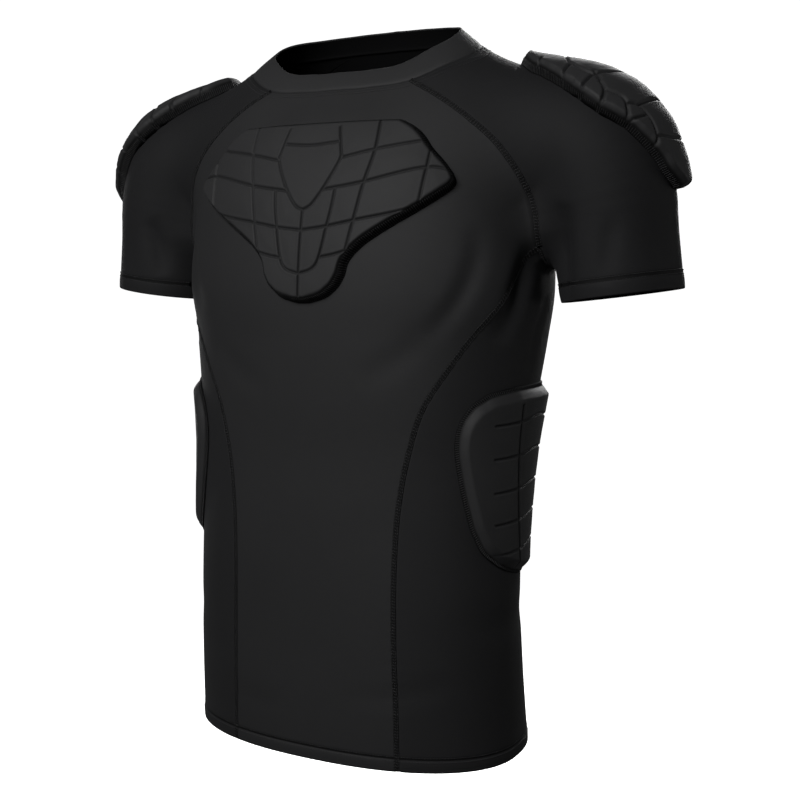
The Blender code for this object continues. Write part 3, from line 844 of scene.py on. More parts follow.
def shell(name, outer, outward, faces, flat_cut, paint, thick=CLOTH, lips=()):
    """A closed shell under an outer skin. lips is [(rim points, direction of their rounding)]."""
    count = len(outer)
    inner = outer - thick * outward
    points = [outer, inner]
    lip_of = {}
    for rim, direction in lips:
        for i in rim:
            lip_of[i] = 2 * count + len(lip_of)
        points.append((outer[list(rim)] + inner[list(rim)]) / 2 + np.array(direction) * thick * 0.5)
    walls = []
    for a, b in rim_of(faces):
        if a in lip_of and b in lip_of:
            walls.append((b, a, lip_of[a], lip_of[b]))
            walls.append((lip_of[b], lip_of[a], a + count, b + count))
        elif a in lip_of or b in lip_of:
            middle = lip_of.get(a, lip_of.get(b))
            walls.append((b, a, middle, b + count) if b not in lip_of else (b, a, a + count, middle))
            walls.append((middle, a + count, b + count))
        else:
            walls.append((b, a, a + count, b + count))
    under = [tuple(i + count for i in reversed(face)) for face in faces]
    whole = list(faces) + under + walls
    cuts = [flat_cut, flat_cut] + [flat_cut[list(rim)] for rim, _ in lips]
    piece = place_mesh(name, np.concatenate(points), whole, paint, np.concatenate(cuts))
    # The inner skin takes the darker inner knit, which is painted shade.
    paint_faces(piece, SHADED_INNER_KNIT, np.arange(len(faces), 2 * len(faces)))
    return piece


print("cloth is", CLOTH / MM, "mm thick")

# %% [markdown]
# ## Folds at the hem and the cuffs
# A hem is the panel's own edge turned up inside and held by two rows of stitches. The fold is twice as
# thick, so it stands a little proud, and the stitches pull a soft groove along its upper edge. One curve
# of height over the distance from the cloth's edge says all that, for the hem and for the cuffs.

# %% Shape a fold
CUFF_FOLD = 0.0145
FOLD_PROUD = 0.00045
FOLD_SWELL = 0.0003
FOLD_GROOVE = 0.00085
FOLD_GROOVE_WIDTH = 0.0018
FOLD_STEP = 0.0006


def fold_lift(above, fold):
    """The height of a fold over the cloth, by the distance above the cloth's edge."""
    proud = FOLD_PROUD / (1 + np.exp(np.clip((above - fold) / FOLD_STEP, -30, 30)))
    swell = FOLD_SWELL * np.sin(np.pi * np.clip(above / fold, 0, 1))
    groove = FOLD_GROOVE * np.exp(-(((above - fold) / FOLD_GROOVE_WIDTH) ** 2))
    return proud + swell - groove


print("hem and cuff folds:", HEM_FOLD / MM, CUFF_FOLD / MM, "mm")

# %% [markdown]
# ## The front and the back
# Each is one panel between the side seams, the raglan seams and the neckband. Its rows are level at the
# hem and bend gently towards the neck's seam at the top. The back is cut the same way a little higher.

# %% Cut the body panels
FRONT_COLUMNS = 132


def body_rows(edge, middle):
    """The front (middle -90) or the back (middle 90), row by row from the hem to the neckband."""
    spread = np.linspace(-1, 1, FRONT_COLUMNS + 1)
    turn = bearing_of(edge)
    bearings = middle + spread * (turn[:, None] - middle)
    share = np.clip((np.arange(len(edge)) - (len(edge) - 1 - RAGLAN_ROWS)) / RAGLAN_ROWS, 0, 1)
    neck = neck_height(bearings[-1])
    heights = edge[:, 2:] + share[:, None] ** 2 * (neck - neck[-1])
    rows = on_bearing(bearings.ravel(), heights.ravel()).reshape(*bearings.shape, 3)
    rows[:, -1] = edge
    rows[:, 0] = edge * RIGHT
    return rows


def steps_along(rows, axis):
    """Each point's distance along a grid's rows or columns, from the first one."""
    size = np.linalg.norm(np.diff(rows, axis=axis), axis=2)
    start = np.zeros_like(size[:1] if axis == 0 else size[:, :1])
    return np.concatenate([start, np.cumsum(size, axis=axis)], axis=axis)


def cut_of(rows):
    """A grid's flat cut: across from its middle column and up from its first row."""
    across = steps_along(rows, 1)
    across -= across[:, [across.shape[1] // 2]]
    return np.stack([across, steps_along(rows, 0)], axis=2).reshape(-1, 2)


def body_panel(name, rows, paint, nodes):
    points = rows.reshape(-1, 3)
    outward = normals(points)
    lift = cloth_lift(points) + fold_lift(points[:, 2] - HEM_HEIGHT, HEM_FOLD)
    hem = range(1, rows.shape[1] - 1)
    outer = points + lift[:, None] * outward
    flat_cut = cut_of(rows)
    faces = grid_faces(*rows.shape[:2])
    piece = shell(name, outer, outward, faces, flat_cut, paint, lips=[(hem, DOWN)])
    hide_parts(nodes)
    print(name, rows.shape[:2], "cut", np.round(np.ptp(flat_cut, axis=0), 3), "m")
    return piece


def area_of(rows):
    """The area of a grid's cells."""
    across = rows[1:, 1:] - rows[:-1, :-1]
    slant = rows[1:, :-1] - rows[:-1, 1:]
    return np.linalg.norm(np.cross(across, slant), axis=2).sum() / 2


front_rows = body_rows(np.concatenate([front_seam, front_raglan[-2::-1]]), -90)
back_rows = body_rows(np.concatenate([back_seam, back_raglan[-2::-1]]), 90)
front = body_panel("front_panel", front_rows, BLACK_KNIT, "front")
back_panel = body_panel("back_panel", back_rows, BLACK_KNIT, "back")
print("areas as worn:", round(area_of(front_rows), 4), round(area_of(back_rows), 4))

# %% [markdown]
# ## The side panels
# A narrow top at the armhole widens to a broad hem. Its front and back edges are the side seams that the
# body panels already used, so the cloth closes without a gap. The right one mirrors the left one's cut,
# but its creases are its own, because they are looked up by place and not by panel.

# %% Cut the side panels
def side_rows():
    share = np.linspace(0, 1, SIDE_COLUMNS + 1)
    turn = bearing_of(front_seam)[:, None] * (1 - share) + bearing_of(back_seam)[:, None] * share
    heights = np.array([body_heights(top) for top in arch[:, 2]]).T
    rows = on_bearing(turn.ravel(), heights.ravel()).reshape(*turn.shape, 3)
    rows[:, 0] = front_seam
    rows[:, -1] = back_seam
    rows[-1] = arch
    return rows


left_side_rows = side_rows()
side_pieces = {}
for hand, turn in (("left", LEFT), ("right", RIGHT)):
    side_pieces[hand] = body_panel(f"side_panel_{hand}", left_side_rows * turn, SIDE_KNIT, f"side_{hand}")
print("area as worn:", round(area_of(left_side_rows), 4))

# %% [markdown]
# ## The sleeves
# A raglan sleeve is one piece from the neckband to the cuff. Its upper rows are arcs over the ridge of the
# shoulder, fanned out from a point inside it. Under the armhole the arcs close into rings, which shrink
# onto the cuff. At the cuff the rings are close together, for the fold's groove.

# %% Fan the shoulder's arcs
SLEEVE_COLUMNS = 84
FAN_END = -8.0
RIDGE_SHARE = 0.35
NECK_EASE_ROWS = 14


def turned(first, second, share):
    """Directions from one to another, in even turns."""
    first = first / np.linalg.norm(first)
    second = second / np.linalg.norm(second)
    angle = np.arccos(np.clip(first @ second, -1, 1))
    share = share[:, None]
    return (np.sin((1 - share) * angle) * first + np.sin(share * angle) * second) / np.sin(angle)


def sleeve_arcs():
    half = SLEEVE_COLUMNS // 2
    share = np.linspace(0, 1, half + 1)
    neck = neck_seam(np.linspace(RAGLAN_FRONT_BEARING, RAGLAN_BACK_BEARING, SLEEVE_COLUMNS + 1))
    start = neck[half] - FAN_CENTRE
    fans = np.radians(np.linspace(math.degrees(math.atan2(start[2], start[0])), FAN_END, RAGLAN_ROWS + 1))
    ridges = cast(FAN_CENTRE, np.stack([np.cos(fans), 0 * fans, np.sin(fans)], axis=1))
    rows = []
    slip = 0
    for k, (first, last, ridge) in enumerate(zip(front_raglan, back_raglan, ridges)):
        heart = (first + last) / 2 * (1 - RIDGE_SHARE) + ridge * RIDGE_SHARE
        rise = turned(first - heart, ridge - heart, share)
        fall = turned(ridge - heart, last - heart, share[1:])
        row = cast(heart, np.concatenate([rise, fall]))
        if k == 0:
            slip = neck - row
        if k < NECK_EASE_ROWS:
            row = cast(heart, row + slip * (1 - k / NECK_EASE_ROWS) ** 2 - heart)
        row[0] = first
        row[-1] = last
        rows.append(row)
    rows[0] = neck
    return np.array(rows)


arcs = sleeve_arcs()
print("arcs:", arcs.shape[:2], "over the shoulder:", round(run_of(arcs[:, SLEEVE_COLUMNS // 2]), 3))

# %% Close the rings down to the cuff
CUFF_CENTRE = np.array([0.2555, 0.0137, -0.2575])
CUFF_TILT = 0.13
CUFF_TO_ARMHOLE = np.array([-0.008, 0, 0.045])
CUFF_SHARES = np.concatenate([np.linspace(0, 0.74, 17), np.linspace(0.74, 1, 21)[1:]])


def cuff_rings():
    first = np.concatenate([arcs[-1], arch[-2:0:-1]])
    ends = arcs[-1][[0, -1]] - CUFF_CENTRE
    front_turn, back_turn = (math.degrees(math.atan2(y, x)) for x, y, _ in ends)
    over = np.linspace(front_turn, back_turn, SLEEVE_COLUMNS + 1)
    under = np.linspace(back_turn, front_turn + 360, SIDE_COLUMNS + 1)[1:-1]
    turn = np.radians(np.concatenate([over, under]))
    cuff = cast(CUFF_CENTRE, np.stack([np.cos(turn), np.sin(turn), CUFF_TILT * np.cos(turn)], axis=1))
    rings = [first]
    for share in CUFF_SHARES[1:-1]:
        heart = CUFF_CENTRE + CUFF_TO_ARMHOLE * (1 - share)
        rings.append(cast(heart, first + (cuff - first) * share - heart))
    return np.array(rings + [cuff])


rings = cuff_rings()
print("rings:", rings.shape[:2], "cuff round:", round(run_of(np.concatenate([rings[-1], rings[-1][:1]])), 3))

# %% Sew the sleeves
def sleeve_faces():
    """Arcs are open rows and rings are closed ones. Row by row, all the points follow each other."""
    across = arcs.shape[1]
    around = rings.shape[1]
    below = (len(arcs) - 1) * across
    last = below - across
    faces = grid_faces(len(arcs) - 1, across)
    faces += [(last + c, last + c + 1, below + c + 1, below + c) for c in range(across - 1)]
    return faces + grid_faces(len(rings), around, start=below, closed=True)


def sleeve_cut():
    """The flat cut: round from the shoulder's ridge, and down from the neck's seam."""
    middle = SLEEVE_COLUMNS // 2
    cuts = []
    down = 0
    for rows in (arcs[:-1], rings):
        across = steps_along(rows, 1)
        across -= across[:, [middle]]
        along = down + steps_along(rows, 0)[:, middle]
        cuts.append(np.stack([across, -np.broadcast_to(along[:, None], across.shape)], axis=2).reshape(-1, 2))
        down = along[-1]
    return np.concatenate(cuts)


sleeve_points = np.concatenate([arcs[:-1].reshape(-1, 3), rings.reshape(-1, 3)])
cuff_above = np.full(len(sleeve_points), 1.0)
ring_run = steps_along(rings, 0)
cuff_above[-ring_run.size :] = (ring_run[-1] - ring_run).ravel()
sleeve_pieces = {}
for hand, turn in (("left", LEFT), ("right", RIGHT)):
    points = sleeve_points * turn
    outward = normals(points)
    lift = cloth_lift(points) + fold_lift(cuff_above, CUFF_FOLD)
    cuff = range(len(points) - rings.shape[1], len(points))
    outer = points + lift[:, None] * outward
    name = f"raglan_sleeve_{hand}"
    # The sleeves take the darker knit, which is painted shade.
    piece = shell(name, outer, outward, sleeve_faces(), sleeve_cut(), SHADED_SLEEVE_KNIT, lips=[(cuff, DOWN)])
    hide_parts(f"sleeve_{hand}")
    sleeve_pieces[hand] = piece
sleeve_area = area_of(arcs) + area_of(np.concatenate([rings, rings[:, :1]], axis=1))
print("area of a sleeve as worn:", round(sleeve_area, 4))

# %% [markdown]
# ## The neckband
# A strip of the same knit folded in two is sewn round the neck. It stands up a little and its top edge is
# a soft fold, so it is thicker than the panels and swells between the fold and the seam.

# %% Sew the neckband
BAND_ROWS = 14
BAND_THICK = 0.0021
BAND_SWELL = 0.0007
BAND_SEAM_DIP = 0.0008
BAND_SEAM_WIDTH = 0.07

band_ring = np.concatenate([front_rows[-1], arcs[0][1:], back_rows[-1][-2::-1], (arcs[0] * RIGHT)[-2:0:-1]])
band_lift = np.linspace(0, BAND_HEIGHT, BAND_ROWS + 1)
band_bearings = np.tile(bearing_of(band_ring), BAND_ROWS + 1)
band_heights = (band_ring[:, 2] + band_lift[:, None]).ravel()
band_points = on_bearing(band_bearings, band_heights)
band_outward = normals(band_points)
band_share = np.repeat(band_lift / BAND_HEIGHT, len(band_ring))
band_out = BAND_SWELL * np.sin(np.pi * band_share) ** 0.7
band_out -= BAND_SEAM_DIP * np.exp(-((band_share / BAND_SEAM_WIDTH) ** 2))
band_run = np.concatenate([[0], np.cumsum(np.linalg.norm(np.diff(band_ring, axis=0), axis=1))])
band_cut = np.stack([np.tile(band_run, BAND_ROWS + 1), band_share * BAND_HEIGHT], axis=1)
band_top = range(BAND_ROWS * len(band_ring), (BAND_ROWS + 1) * len(band_ring))
neckband = shell(
    "neckband_strip",
    band_points + band_out[:, None] * band_outward,
    band_outward,
    grid_faces(BAND_ROWS + 1, len(band_ring), closed=True),
    band_cut,
    BAND_KNIT,
    BAND_THICK,
    [(band_top, UP)],
)
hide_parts("neckband")
band_grid = band_points.reshape(BAND_ROWS + 1, -1, 3)
band_slope = steps_along(band_grid, 0)[-1].mean()
band_top_run = run_of(band_grid[-1])
print("neckband round:", round(float(band_run[-1]), 3), round(band_top_run, 3), "wide", round(band_slope, 4))

# %% [markdown]
# ## Moulded foam pads
# Each pad is closed-cell foam pressed hot between two layers of knit: the mould leaves a thin stitched
# border, a sloping wall, a face in soft cells and narrow flex grooves between them. Remeshing and inflating
# a cushion would wash the grooves out, so a pad is made like its mould. A grid laid on the form follows the
# pad's outline, its cells are split again beside the grooves, and then every point is raised by one
# height curve: distance to the outline gives the wall, distance to the nearest groove gives the cells.

# %% Lay a pad's grid on the form
PAD_SEAT = 0.0004
FLOOR_SHARES = (0.3, 0.65)


def even_steps(cells):
    """Shares across a pad. cells is (even ones, close ones at each end, that end's share of the width)."""
    count, edge_count, edge_share = cells
    edge = np.linspace(0, edge_share, edge_count + 1)
    inner = np.linspace(edge_share, 1 - edge_share, count + 1)[1:-1]
    return np.concatenate([edge, inner, 1 - edge[::-1]])


def outline_of(rows):
    """A grid's border as one closed line."""
    return np.concatenate([rows[0], rows[1:, -1], rows[-1, -2::-1], rows[-2::-1, 0]])


def split_near(points, faces, lines, reach):
    """The same grid with every cell that a line passes cut in four."""
    grid = bmesh.new()
    verts = [grid.verts.new(point) for point in points]
    for face in faces:
        grid.faces.new([verts[i] for i in face])
    grid.edges.index_update()
    middles = np.array([(edge.verts[0].co + edge.verts[1].co) / 2 for edge in grid.edges])
    far = np.min([line_distance(middles, line)[0] for line in lines], axis=0)
    close = [edge for edge, gap in zip(list(grid.edges), far) if gap < reach]
    bmesh.ops.subdivide_edges(grid, edges=close, cuts=1, use_grid_fill=True)
    grid.verts.index_update()
    split = np.array([vert.co[:] for vert in grid.verts])
    faces = [tuple(vert.index for vert in face.verts) for face in grid.faces]
    grid.free()
    return split, faces


def bottom_rings(points, rim, middle):
    """Points and faces that close a pad underneath: rings that shrink from its rim onto its middle."""
    ring = points[rim]
    inner = np.concatenate([ring + (middle - ring) * share for share in FLOOR_SHARES] + [[middle]])
    count = len(points)
    size = len(rim)
    faces = []
    for c in range(size):
        d = (c + 1) % size
        faces.append((rim[d], rim[c], count + c, count + d))
        faces.append((count + d, count + c, count + size + c, count + size + d))
        faces.append((count + size + d, count + size + c, count + 2 * size))
    return inner, faces


def ring_order(edges):
    """Border edges put in order round the pad."""
    after = dict(edges)
    order = [edges[0][0]]
    while after[order[-1]] != order[0]:
        order.append(after[order[-1]])
    return order


print("a pad's foot is", PAD_SEAT / MM, "mm over the cloth")

# %% Shape the height over the distance
GROOVE_REACH = 0.0028
PUFF_REACH = 0.0075
# How softly the painted shade on a pad's wall fades out onto its face.
WALL_SHADE_FADE = 0.0012
FOOT_ROUND = 0.0008
LIP_SHARE = 0.14
LIP_PLACE = 2.4


def smooth(low, high, value):
    t = np.clip((value - low) / (high - low), 0, 1)
    return t * t * (3 - 2 * t)


def wall_height(edge, looks):
    """A thin border, then a wall that rises and rounds over onto the face."""
    t = np.clip((edge - looks["border"]) / looks["wall"], 0, 1)
    rise = (1 - (1 - t) ** looks["round"]) ** (1 / looks["round"])
    foot = looks["border_height"] * np.clip(edge / FOOT_ROUND, 0, 1) ** 0.5
    return foot + (looks["thick"] - looks["border_height"]) * rise


def groove_dip(far, depth, width):
    """A groove pressed in the foam, with a faint lip on both sides."""
    dip = np.exp(-((far / width) ** 2))
    lip = np.exp(-(((far - LIP_PLACE * width) / width) ** 2))
    return depth * dip - LIP_SHARE * depth * lip


print("cells are split within", GROOVE_REACH / MM, "mm of a groove")

# %% Press a pad
BODY_RADIUS = 0.17


def press_pad(name, rows, grooves, looks, shape=None):
    """A pad from its grid on the form and its grooves, pressed to the heights that its looks name."""
    points, faces = split_near(rows.reshape(-1, 3), grid_faces(*rows.shape[:2]), grooves, GROOVE_REACH)
    edge = line_distance(points, outline_of(rows))[0]
    near = np.min([line_distance(points, line)[0] for line in grooves], axis=0)
    outward = normals(points)
    height = wall_height(edge, looks)
    on_face = smooth(looks["border"] + looks["wall"] * 0.6, looks["border"] + looks["wall"] * 1.1, edge)
    pressed = looks["wall_groove"] + (1 - looks["wall_groove"]) * on_face
    height -= groove_dip(near, looks["groove"], looks["groove_width"]) * pressed
    height += looks["puff"] * (1 - np.exp(-near / PUFF_REACH)) * on_face
    if shape is not None:
        height += shape(points, edge) * on_face
    base = points + (PAD_SEAT + crease_lift(points))[:, None] * outward
    top = base + height[:, None] * outward
    rim = ring_order(rim_of(faces))
    inner, floor_faces = bottom_rings(top, rim, base[edge.argmax()])
    flat_cut = np.zeros((len(top) + len(inner), 2))
    flat_cut[: len(top), 0] = np.arctan2(points[:, 1], points[:, 0]) * BODY_RADIUS
    flat_cut[: len(top), 1] = points[:, 2]
    piece = place_mesh(name, np.concatenate([top, inner]), faces + floor_faces, PAD_SKIN, flat_cut)
    # Marks on the points that paint the wall and the grooves darker: painted shade.
    shade_marks = {
        "wall": 1 - smooth(looks["dark"], looks["dark"] + WALL_SHADE_FADE, edge),
        "groove": np.exp(-((near / looks["groove_width"]) ** 2)) * pressed,
    }
    for mark, value in shade_marks.items():
        painted = piece.data.attributes.new(mark, "FLOAT", "POINT")
        painted.data.foreach_set("value", np.append(value, np.ones(len(inner))).astype(np.float32))
    # Faces near the outline take the darker border finish, which is painted shade.
    shaded_border_faces = [i for i, face in enumerate(faces) if edge[list(face)].max() < looks["dark"]]
    paint_faces(piece, SHADED_PAD_BORDER, shaded_border_faces)
    print(name, "faces", len(faces), "grooves", round(sum(run_of(line) for line in grooves), 2), "m")
    return piece


print("pads are covered in", PAD_SKIN.name, "with", SHADED_PAD_BORDER.name)

# %% [markdown]
# ## The chest pad
# It is a broad shield over the breastbone with a tongue below, so that the chest can move. Its middle is a
# long six-sided cell, and the rest is a fan of cells that get smaller towards the edges. Only its left
# half is drawn, as places of the front view in millimetres, and the other half mirrors it.

# %% Press the chest pad
CHEST_PAD_COLUMNS = ("height", "half_width")
CHEST_PAD = (
    (-0.1020, 0.080),
    (-0.1060, 0.088),
    (-0.1300, 0.112),
    (-0.1440, 0.1245),
    (-0.1520, 0.1300),
    (-0.1590, 0.1325),
    (-0.1650, 0.1300),
    (-0.1720, 0.1220),
    (-0.1840, 0.1050),
    (-0.2000, 0.079),
    (-0.2150, 0.057),
    (-0.2270, 0.046),
    (-0.2420, 0.041),
    (-0.2540, 0.032),
    (-0.2620, 0.018),
    (-0.2650, 0.006),
)
CHEST_GROOVES = (
    ((110, -121), (109, -146), (106, -178)),
    ((63, -106), (63, -133), (57, -162), (52, -188), (45, -222)),
    ((26, -111), (31, -131), (32, -138), (26, -152), (18, -166), (8, -179), (0, -183)),
    ((34, -138), (63, -132), (93, -127), (110, -124)),
    ((18, -166), (57, -160), (107, -149), (130, -152)),
    ((0, -201), (25, -198), (52, -193), (80, -188), (98, -184)),
    ((20, -225), (32, -223), (44, -220)),
    ((31, -166), (29, -182), (26, -197), (20, -225), (13, -235), (0, -239)),
)
CHEST_MIDDLE = ((0, -183), (0, -259))
CHEST_TOP = ((-27, -124), (0, -126), (27, -124))
CHEST_LOOKS = {
    "thick": 0.0098,
    "border": 0.0012,
    "border_height": 0.0009,
    "wall": 0.0056,
    "round": 1.55,
    "groove": 0.0016,
    "groove_width": 0.00095,
    "puff": 0.0008,
    "wall_groove": 0.35,
    # How far in from the outline the pad is painted darker: painted shade on its border and wall.
    "dark": 0.0052,
}
CHEST_CELLS = ((112, 12, 0.045), (170, 12, 0.027))
GROOVE_STEP = 3.0


def front_line(points, hand=1):
    x, z = smooth_line(points, GROOVE_STEP).T * MM
    return seen_from(-1, x * hand, z)


def chest_rows():
    shares = even_steps(CHEST_CELLS[0])
    heights = CHEST_PAD[0][0] + (CHEST_PAD[-1][0] - CHEST_PAD[0][0]) * shares
    halves = column(CHEST_PAD, CHEST_PAD_COLUMNS, "half_width", heights)
    across = np.outer(halves, 2 * even_steps(CHEST_CELLS[1]) - 1)
    points = seen_from(-1, across.ravel(), np.repeat(heights, across.shape[1]))
    return points.reshape(*across.shape, 3)


chest_lines = [front_line(points, hand) for points in CHEST_GROOVES for hand in (1, -1)]
chest_lines += [front_line(CHEST_MIDDLE), front_line(CHEST_TOP)]
chest_grid = chest_rows()
chest_pad = press_pad("chest_foam", chest_grid, chest_lines, CHEST_LOOKS)
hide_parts("chest_pad")

# %% [markdown]
# ## The shoulder pads
# A leaf of thicker foam lies over each shoulder's ridge from the neck's side to the upper arm. Its front
# wall is cut into blocks so that it can bend when the arm lifts, and its crown has one long ridge cell.
# Turns fan out from a point inside the shoulder, and the second figure is how far the place is from the
# middle of the shoulder, towards the front, in millimetres. The back half mirrors the front half.

# %% Press the shoulder pads
SHOULDER_PAD_CENTRE = np.array([0.200, 0.012, -0.150])
SHOULDER_PAD_COLUMNS = ("fan", "half_width")
SHOULDER_PAD = (
    (112.0, 0.010),
    (108.0, 0.022),
    (98.0, 0.032),
    (85.0, 0.040),
    (62.0, 0.048),
    (41.0, 0.048),
    (27.0, 0.042),
    (16.0, 0.036),
    (6.0, 0.028),
    (-3.0, 0.019),
    (-8.0, 0.007),
)
SHOULDER_GROOVES = (
    ((84, 24), (73, 31), (64, 33), (53, 40), (46, 51)),
    ((84, 24), (90, 12), (92, 0)),
    ((66, 29), (60, 34)),
    ((65, 32), (60, 18), (58, 0)),
    ((100, 22), (101, 34)),
    ((82, 26), (82, 44)),
    ((65, 33), (65, 51)),
    ((28, 30), (28, 46)),
    ((48, 46), (46, 54)),
    ((52, 40), (42, 36), (34, 40), (24, 44), (13, 41)),
    ((38, 36), (35, 31), (26, 28), (16, 29), (11, 33), (13, 41)),
    ((35, 31), (36, 16), (37, 0)),
    ((16, 28), (15, 14), (15, 0)),
)
SHOULDER_LOOKS = {
    "thick": 0.0132,
    "border": 0.0008,
    "border_height": 0.0010,
    "wall": 0.0046,
    "round": 1.9,
    "groove": 0.0020,
    "groove_width": 0.00110,
    "puff": 0.0011,
    "wall_groove": 0.90,
    # How far in from the outline the pad is painted darker: painted shade on its border and wall.
    "dark": 0.0017,
}
SHOULDER_CELLS = ((118, 12, 0.05), (58, 12, 0.085))
FAN_STEP = 2.0


def on_shoulder(fan, across):
    turn = np.radians(fan)
    starts = SHOULDER_PAD_CENTRE + np.outer(across, [0, 1, 0])
    return cast(starts, np.stack([np.cos(turn), 0 * turn, np.sin(turn)], axis=1))


def shoulder_rows():
    ends = (SHOULDER_PAD[0][0], SHOULDER_PAD[-1][0])
    fans = ends[0] + (ends[1] - ends[0]) * even_steps(SHOULDER_CELLS[0])
    halves = column(SHOULDER_PAD, SHOULDER_PAD_COLUMNS, "half_width", fans)
    across = np.outer(halves, 2 * even_steps(SHOULDER_CELLS[1]) - 1)
    return on_shoulder(np.repeat(fans, across.shape[1]), across.ravel()).reshape(*across.shape, 3)


def shoulder_line(points, side):
    fan, across = smooth_line(points, FAN_STEP).T
    return on_shoulder(fan, -side * across * MM)


shoulder_grid = shoulder_rows()
shoulder_lines = [shoulder_line(points, side) for points in SHOULDER_GROOVES for side in (1, -1)]
for hand, turn in (("left", LEFT), ("right", RIGHT)):
    lines = [line * turn for line in shoulder_lines]
    shoulder_pad = press_pad(f"shoulder_foam_{hand}", shoulder_grid * turn, lines, SHOULDER_LOOKS)
    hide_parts(f"shoulder_pad_{hand}")

# %% [markdown]
# ## The rib pads
# A rib pad wraps the side below the arm. It has a flat stitched border, a bevel that catches the light, and
# a face in three upright facets, each crossed by short bending grooves. Places are a bearing round the
# body and a height in millimetres. The half that the photograph hides is the front half, mirrored.

# %% Press the rib pads
RIB_PAD_COLUMNS = ("height", "front", "back")
RIB_PAD = (
    (-0.3400, -12.0, 14.0),
    (-0.3430, -19.0, 20.0),
    (-0.3500, -25.0, 25.0),
    (-0.3620, -29.5, 28.5),
    (-0.3760, -31.8, 30.5),
    (-0.3900, -32.5, 31.0),
    (-0.4200, -31.5, 30.5),
    (-0.4500, -29.5, 29.0),
    (-0.4750, -27.0, 27.0),
    (-0.4970, -22.0, 22.0),
    (-0.5120, -13.0, 14.0),
    (-0.5180, -6.0, 6.0),
)
RIB_FACET = 11.5
RIB_UPRIGHT = ((-11.5, -356), (-12, -400), (-12, -450), (-11, -508))
RIB_LEVELS = (-371, -402, -433, -462, -490)
RIB_BEND = ((-21, -3), (-16, -2), (-11, 0), (0, 4), (11, 0), (16, -2), (21, -3))
RIB_RIDGE = 0.0016
RIB_RIDGE_WIDTH = 4.5
RIB_FLAT = 0.0006
RIB_LOOKS = {
    "thick": 0.0086,
    "border": 0.0034,
    "border_height": 0.0012,
    "wall": 0.0078,
    "round": 1.25,
    "groove": 0.0013,
    "groove_width": 0.00095,
    "puff": 0.0004,
    "wall_groove": 0.35,
    # How far in from the outline the pad is painted darker: painted shade on its border and wall.
    "dark": 0.0036,
}
RIB_CELLS = ((110, 14, 0.07), (112, 14, 0.065))
DEGREE_ARC = 3.0


def rib_rows():
    ends = (RIB_PAD[0][0], RIB_PAD[-1][0])
    heights = ends[0] + (ends[1] - ends[0]) * even_steps(RIB_CELLS[0])
    first, last = (column(RIB_PAD, RIB_PAD_COLUMNS, edge, heights)[:, None] for edge in ("front", "back"))
    turns = first + (last - first) * even_steps(RIB_CELLS[1])
    points = on_bearing(turns.ravel(), np.repeat(heights, turns.shape[1]))
    return points.reshape(*turns.shape, 3)


def rib_line(points):
    turns, heights = smooth_line(np.array(points) * [DEGREE_ARC, 1], GROOVE_STEP).T
    return on_bearing(turns / DEGREE_ARC, heights * MM)


def rib_facets(points, edge):
    """The facets meet in two soft upright ridges, and the cloth form is flattened between them."""
    turn = np.degrees(np.arctan2(points[:, 1], np.abs(points[:, 0])))
    ridge = np.exp(-np.abs(np.abs(turn) - RIB_FACET) / RIB_RIDGE_WIDTH)
    return RIB_RIDGE * ridge - RIB_FLAT


rib_grid = rib_rows()
rib_lines = [rib_line([(turn * side, z) for turn, z in RIB_UPRIGHT]) for side in (1, -1)]
for z in RIB_LEVELS:
    rib_lines.append(rib_line([(turn, z + rise) for turn, rise in RIB_BEND]))
for hand, turn in (("left", LEFT), ("right", RIGHT)):
    rib_pad = press_pad(
        f"rib_foam_{hand}", rib_grid * turn, [line * turn for line in rib_lines], RIB_LOOKS, rib_facets
    )
    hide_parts(f"rib_pad_{hand}")

# %% [markdown]
# ## Flat seams
# Tight sportswear is sewn flat, so that no seam rubs. The two edges butt together under a narrow band of
# thread: two rows of stitches with looper threads that zigzag between them. Each seam gets a low tape with
# a rounded section, and its stitches are short bars of real thread laid on the tape. Bars are cheap: each
# is a four-sided spindle, and thousands of them share one mesh.

# %% Find a frame along a seam
HALF_TAPE = ((0.9, 0.34), (1.8, 0.48), (2.5, 0.22), (2.7, -0.4))
TAPE_SECTION = tuple((-x, z) for x, z in HALF_TAPE[::-1]) + ((0, 0.30),) + HALF_TAPE
TAPE_STEP = 0.0032
TORSO_SIDE = 0.2
FOLD_ZONE = 0.03


def evenly(line, step):
    """The same line with a point at every step of its length."""
    size = np.linalg.norm(np.diff(line, axis=0), axis=1)
    at = np.concatenate([[0], np.cumsum(size)])
    count = max(2, int(round(at[-1] / step)) + 1)
    even = np.linspace(0, at[-1], count)
    return np.stack([np.interp(even, at, line[:, axis]) for axis in range(3)], axis=1)


def frame_along(line):
    """Each point's direction along the seam, across it and out of the cloth."""
    outward = normals(line)
    ahead = np.gradient(line, axis=0)
    ahead /= np.linalg.norm(ahead, axis=1, keepdims=True)
    across = np.cross(outward, ahead)
    return ahead, across / np.linalg.norm(across, axis=1, keepdims=True), outward


def on_cloth(line):
    """A seam's line on the finished cloth, with its creases, puckers and folds."""
    above = line[:, 2] - HEM_HEIGHT
    fold = np.where(np.abs(line[:, 0]) < TORSO_SIDE, fold_lift(above, HEM_FOLD), 0) * (above < FOLD_ZONE)
    return line + (cloth_lift(line) + fold)[:, None] * normals(line)


print("tape:", TAPE_SECTION[-1][0] * 2, "mm wide")

# %% Lay the tapes
sleeve_under = rings[:, SLEEVE_COLUMNS + SIDE_COLUMNS // 2]
SEWN_LINES = SEAM_LINES + both_hands(sleeve_under)


def trim_cut(points):
    """A rough flat cut for tapes and threads, which are too narrow to show its run."""
    return np.stack([points[:, 0] + points[:, 1], points[:, 2]], axis=1)


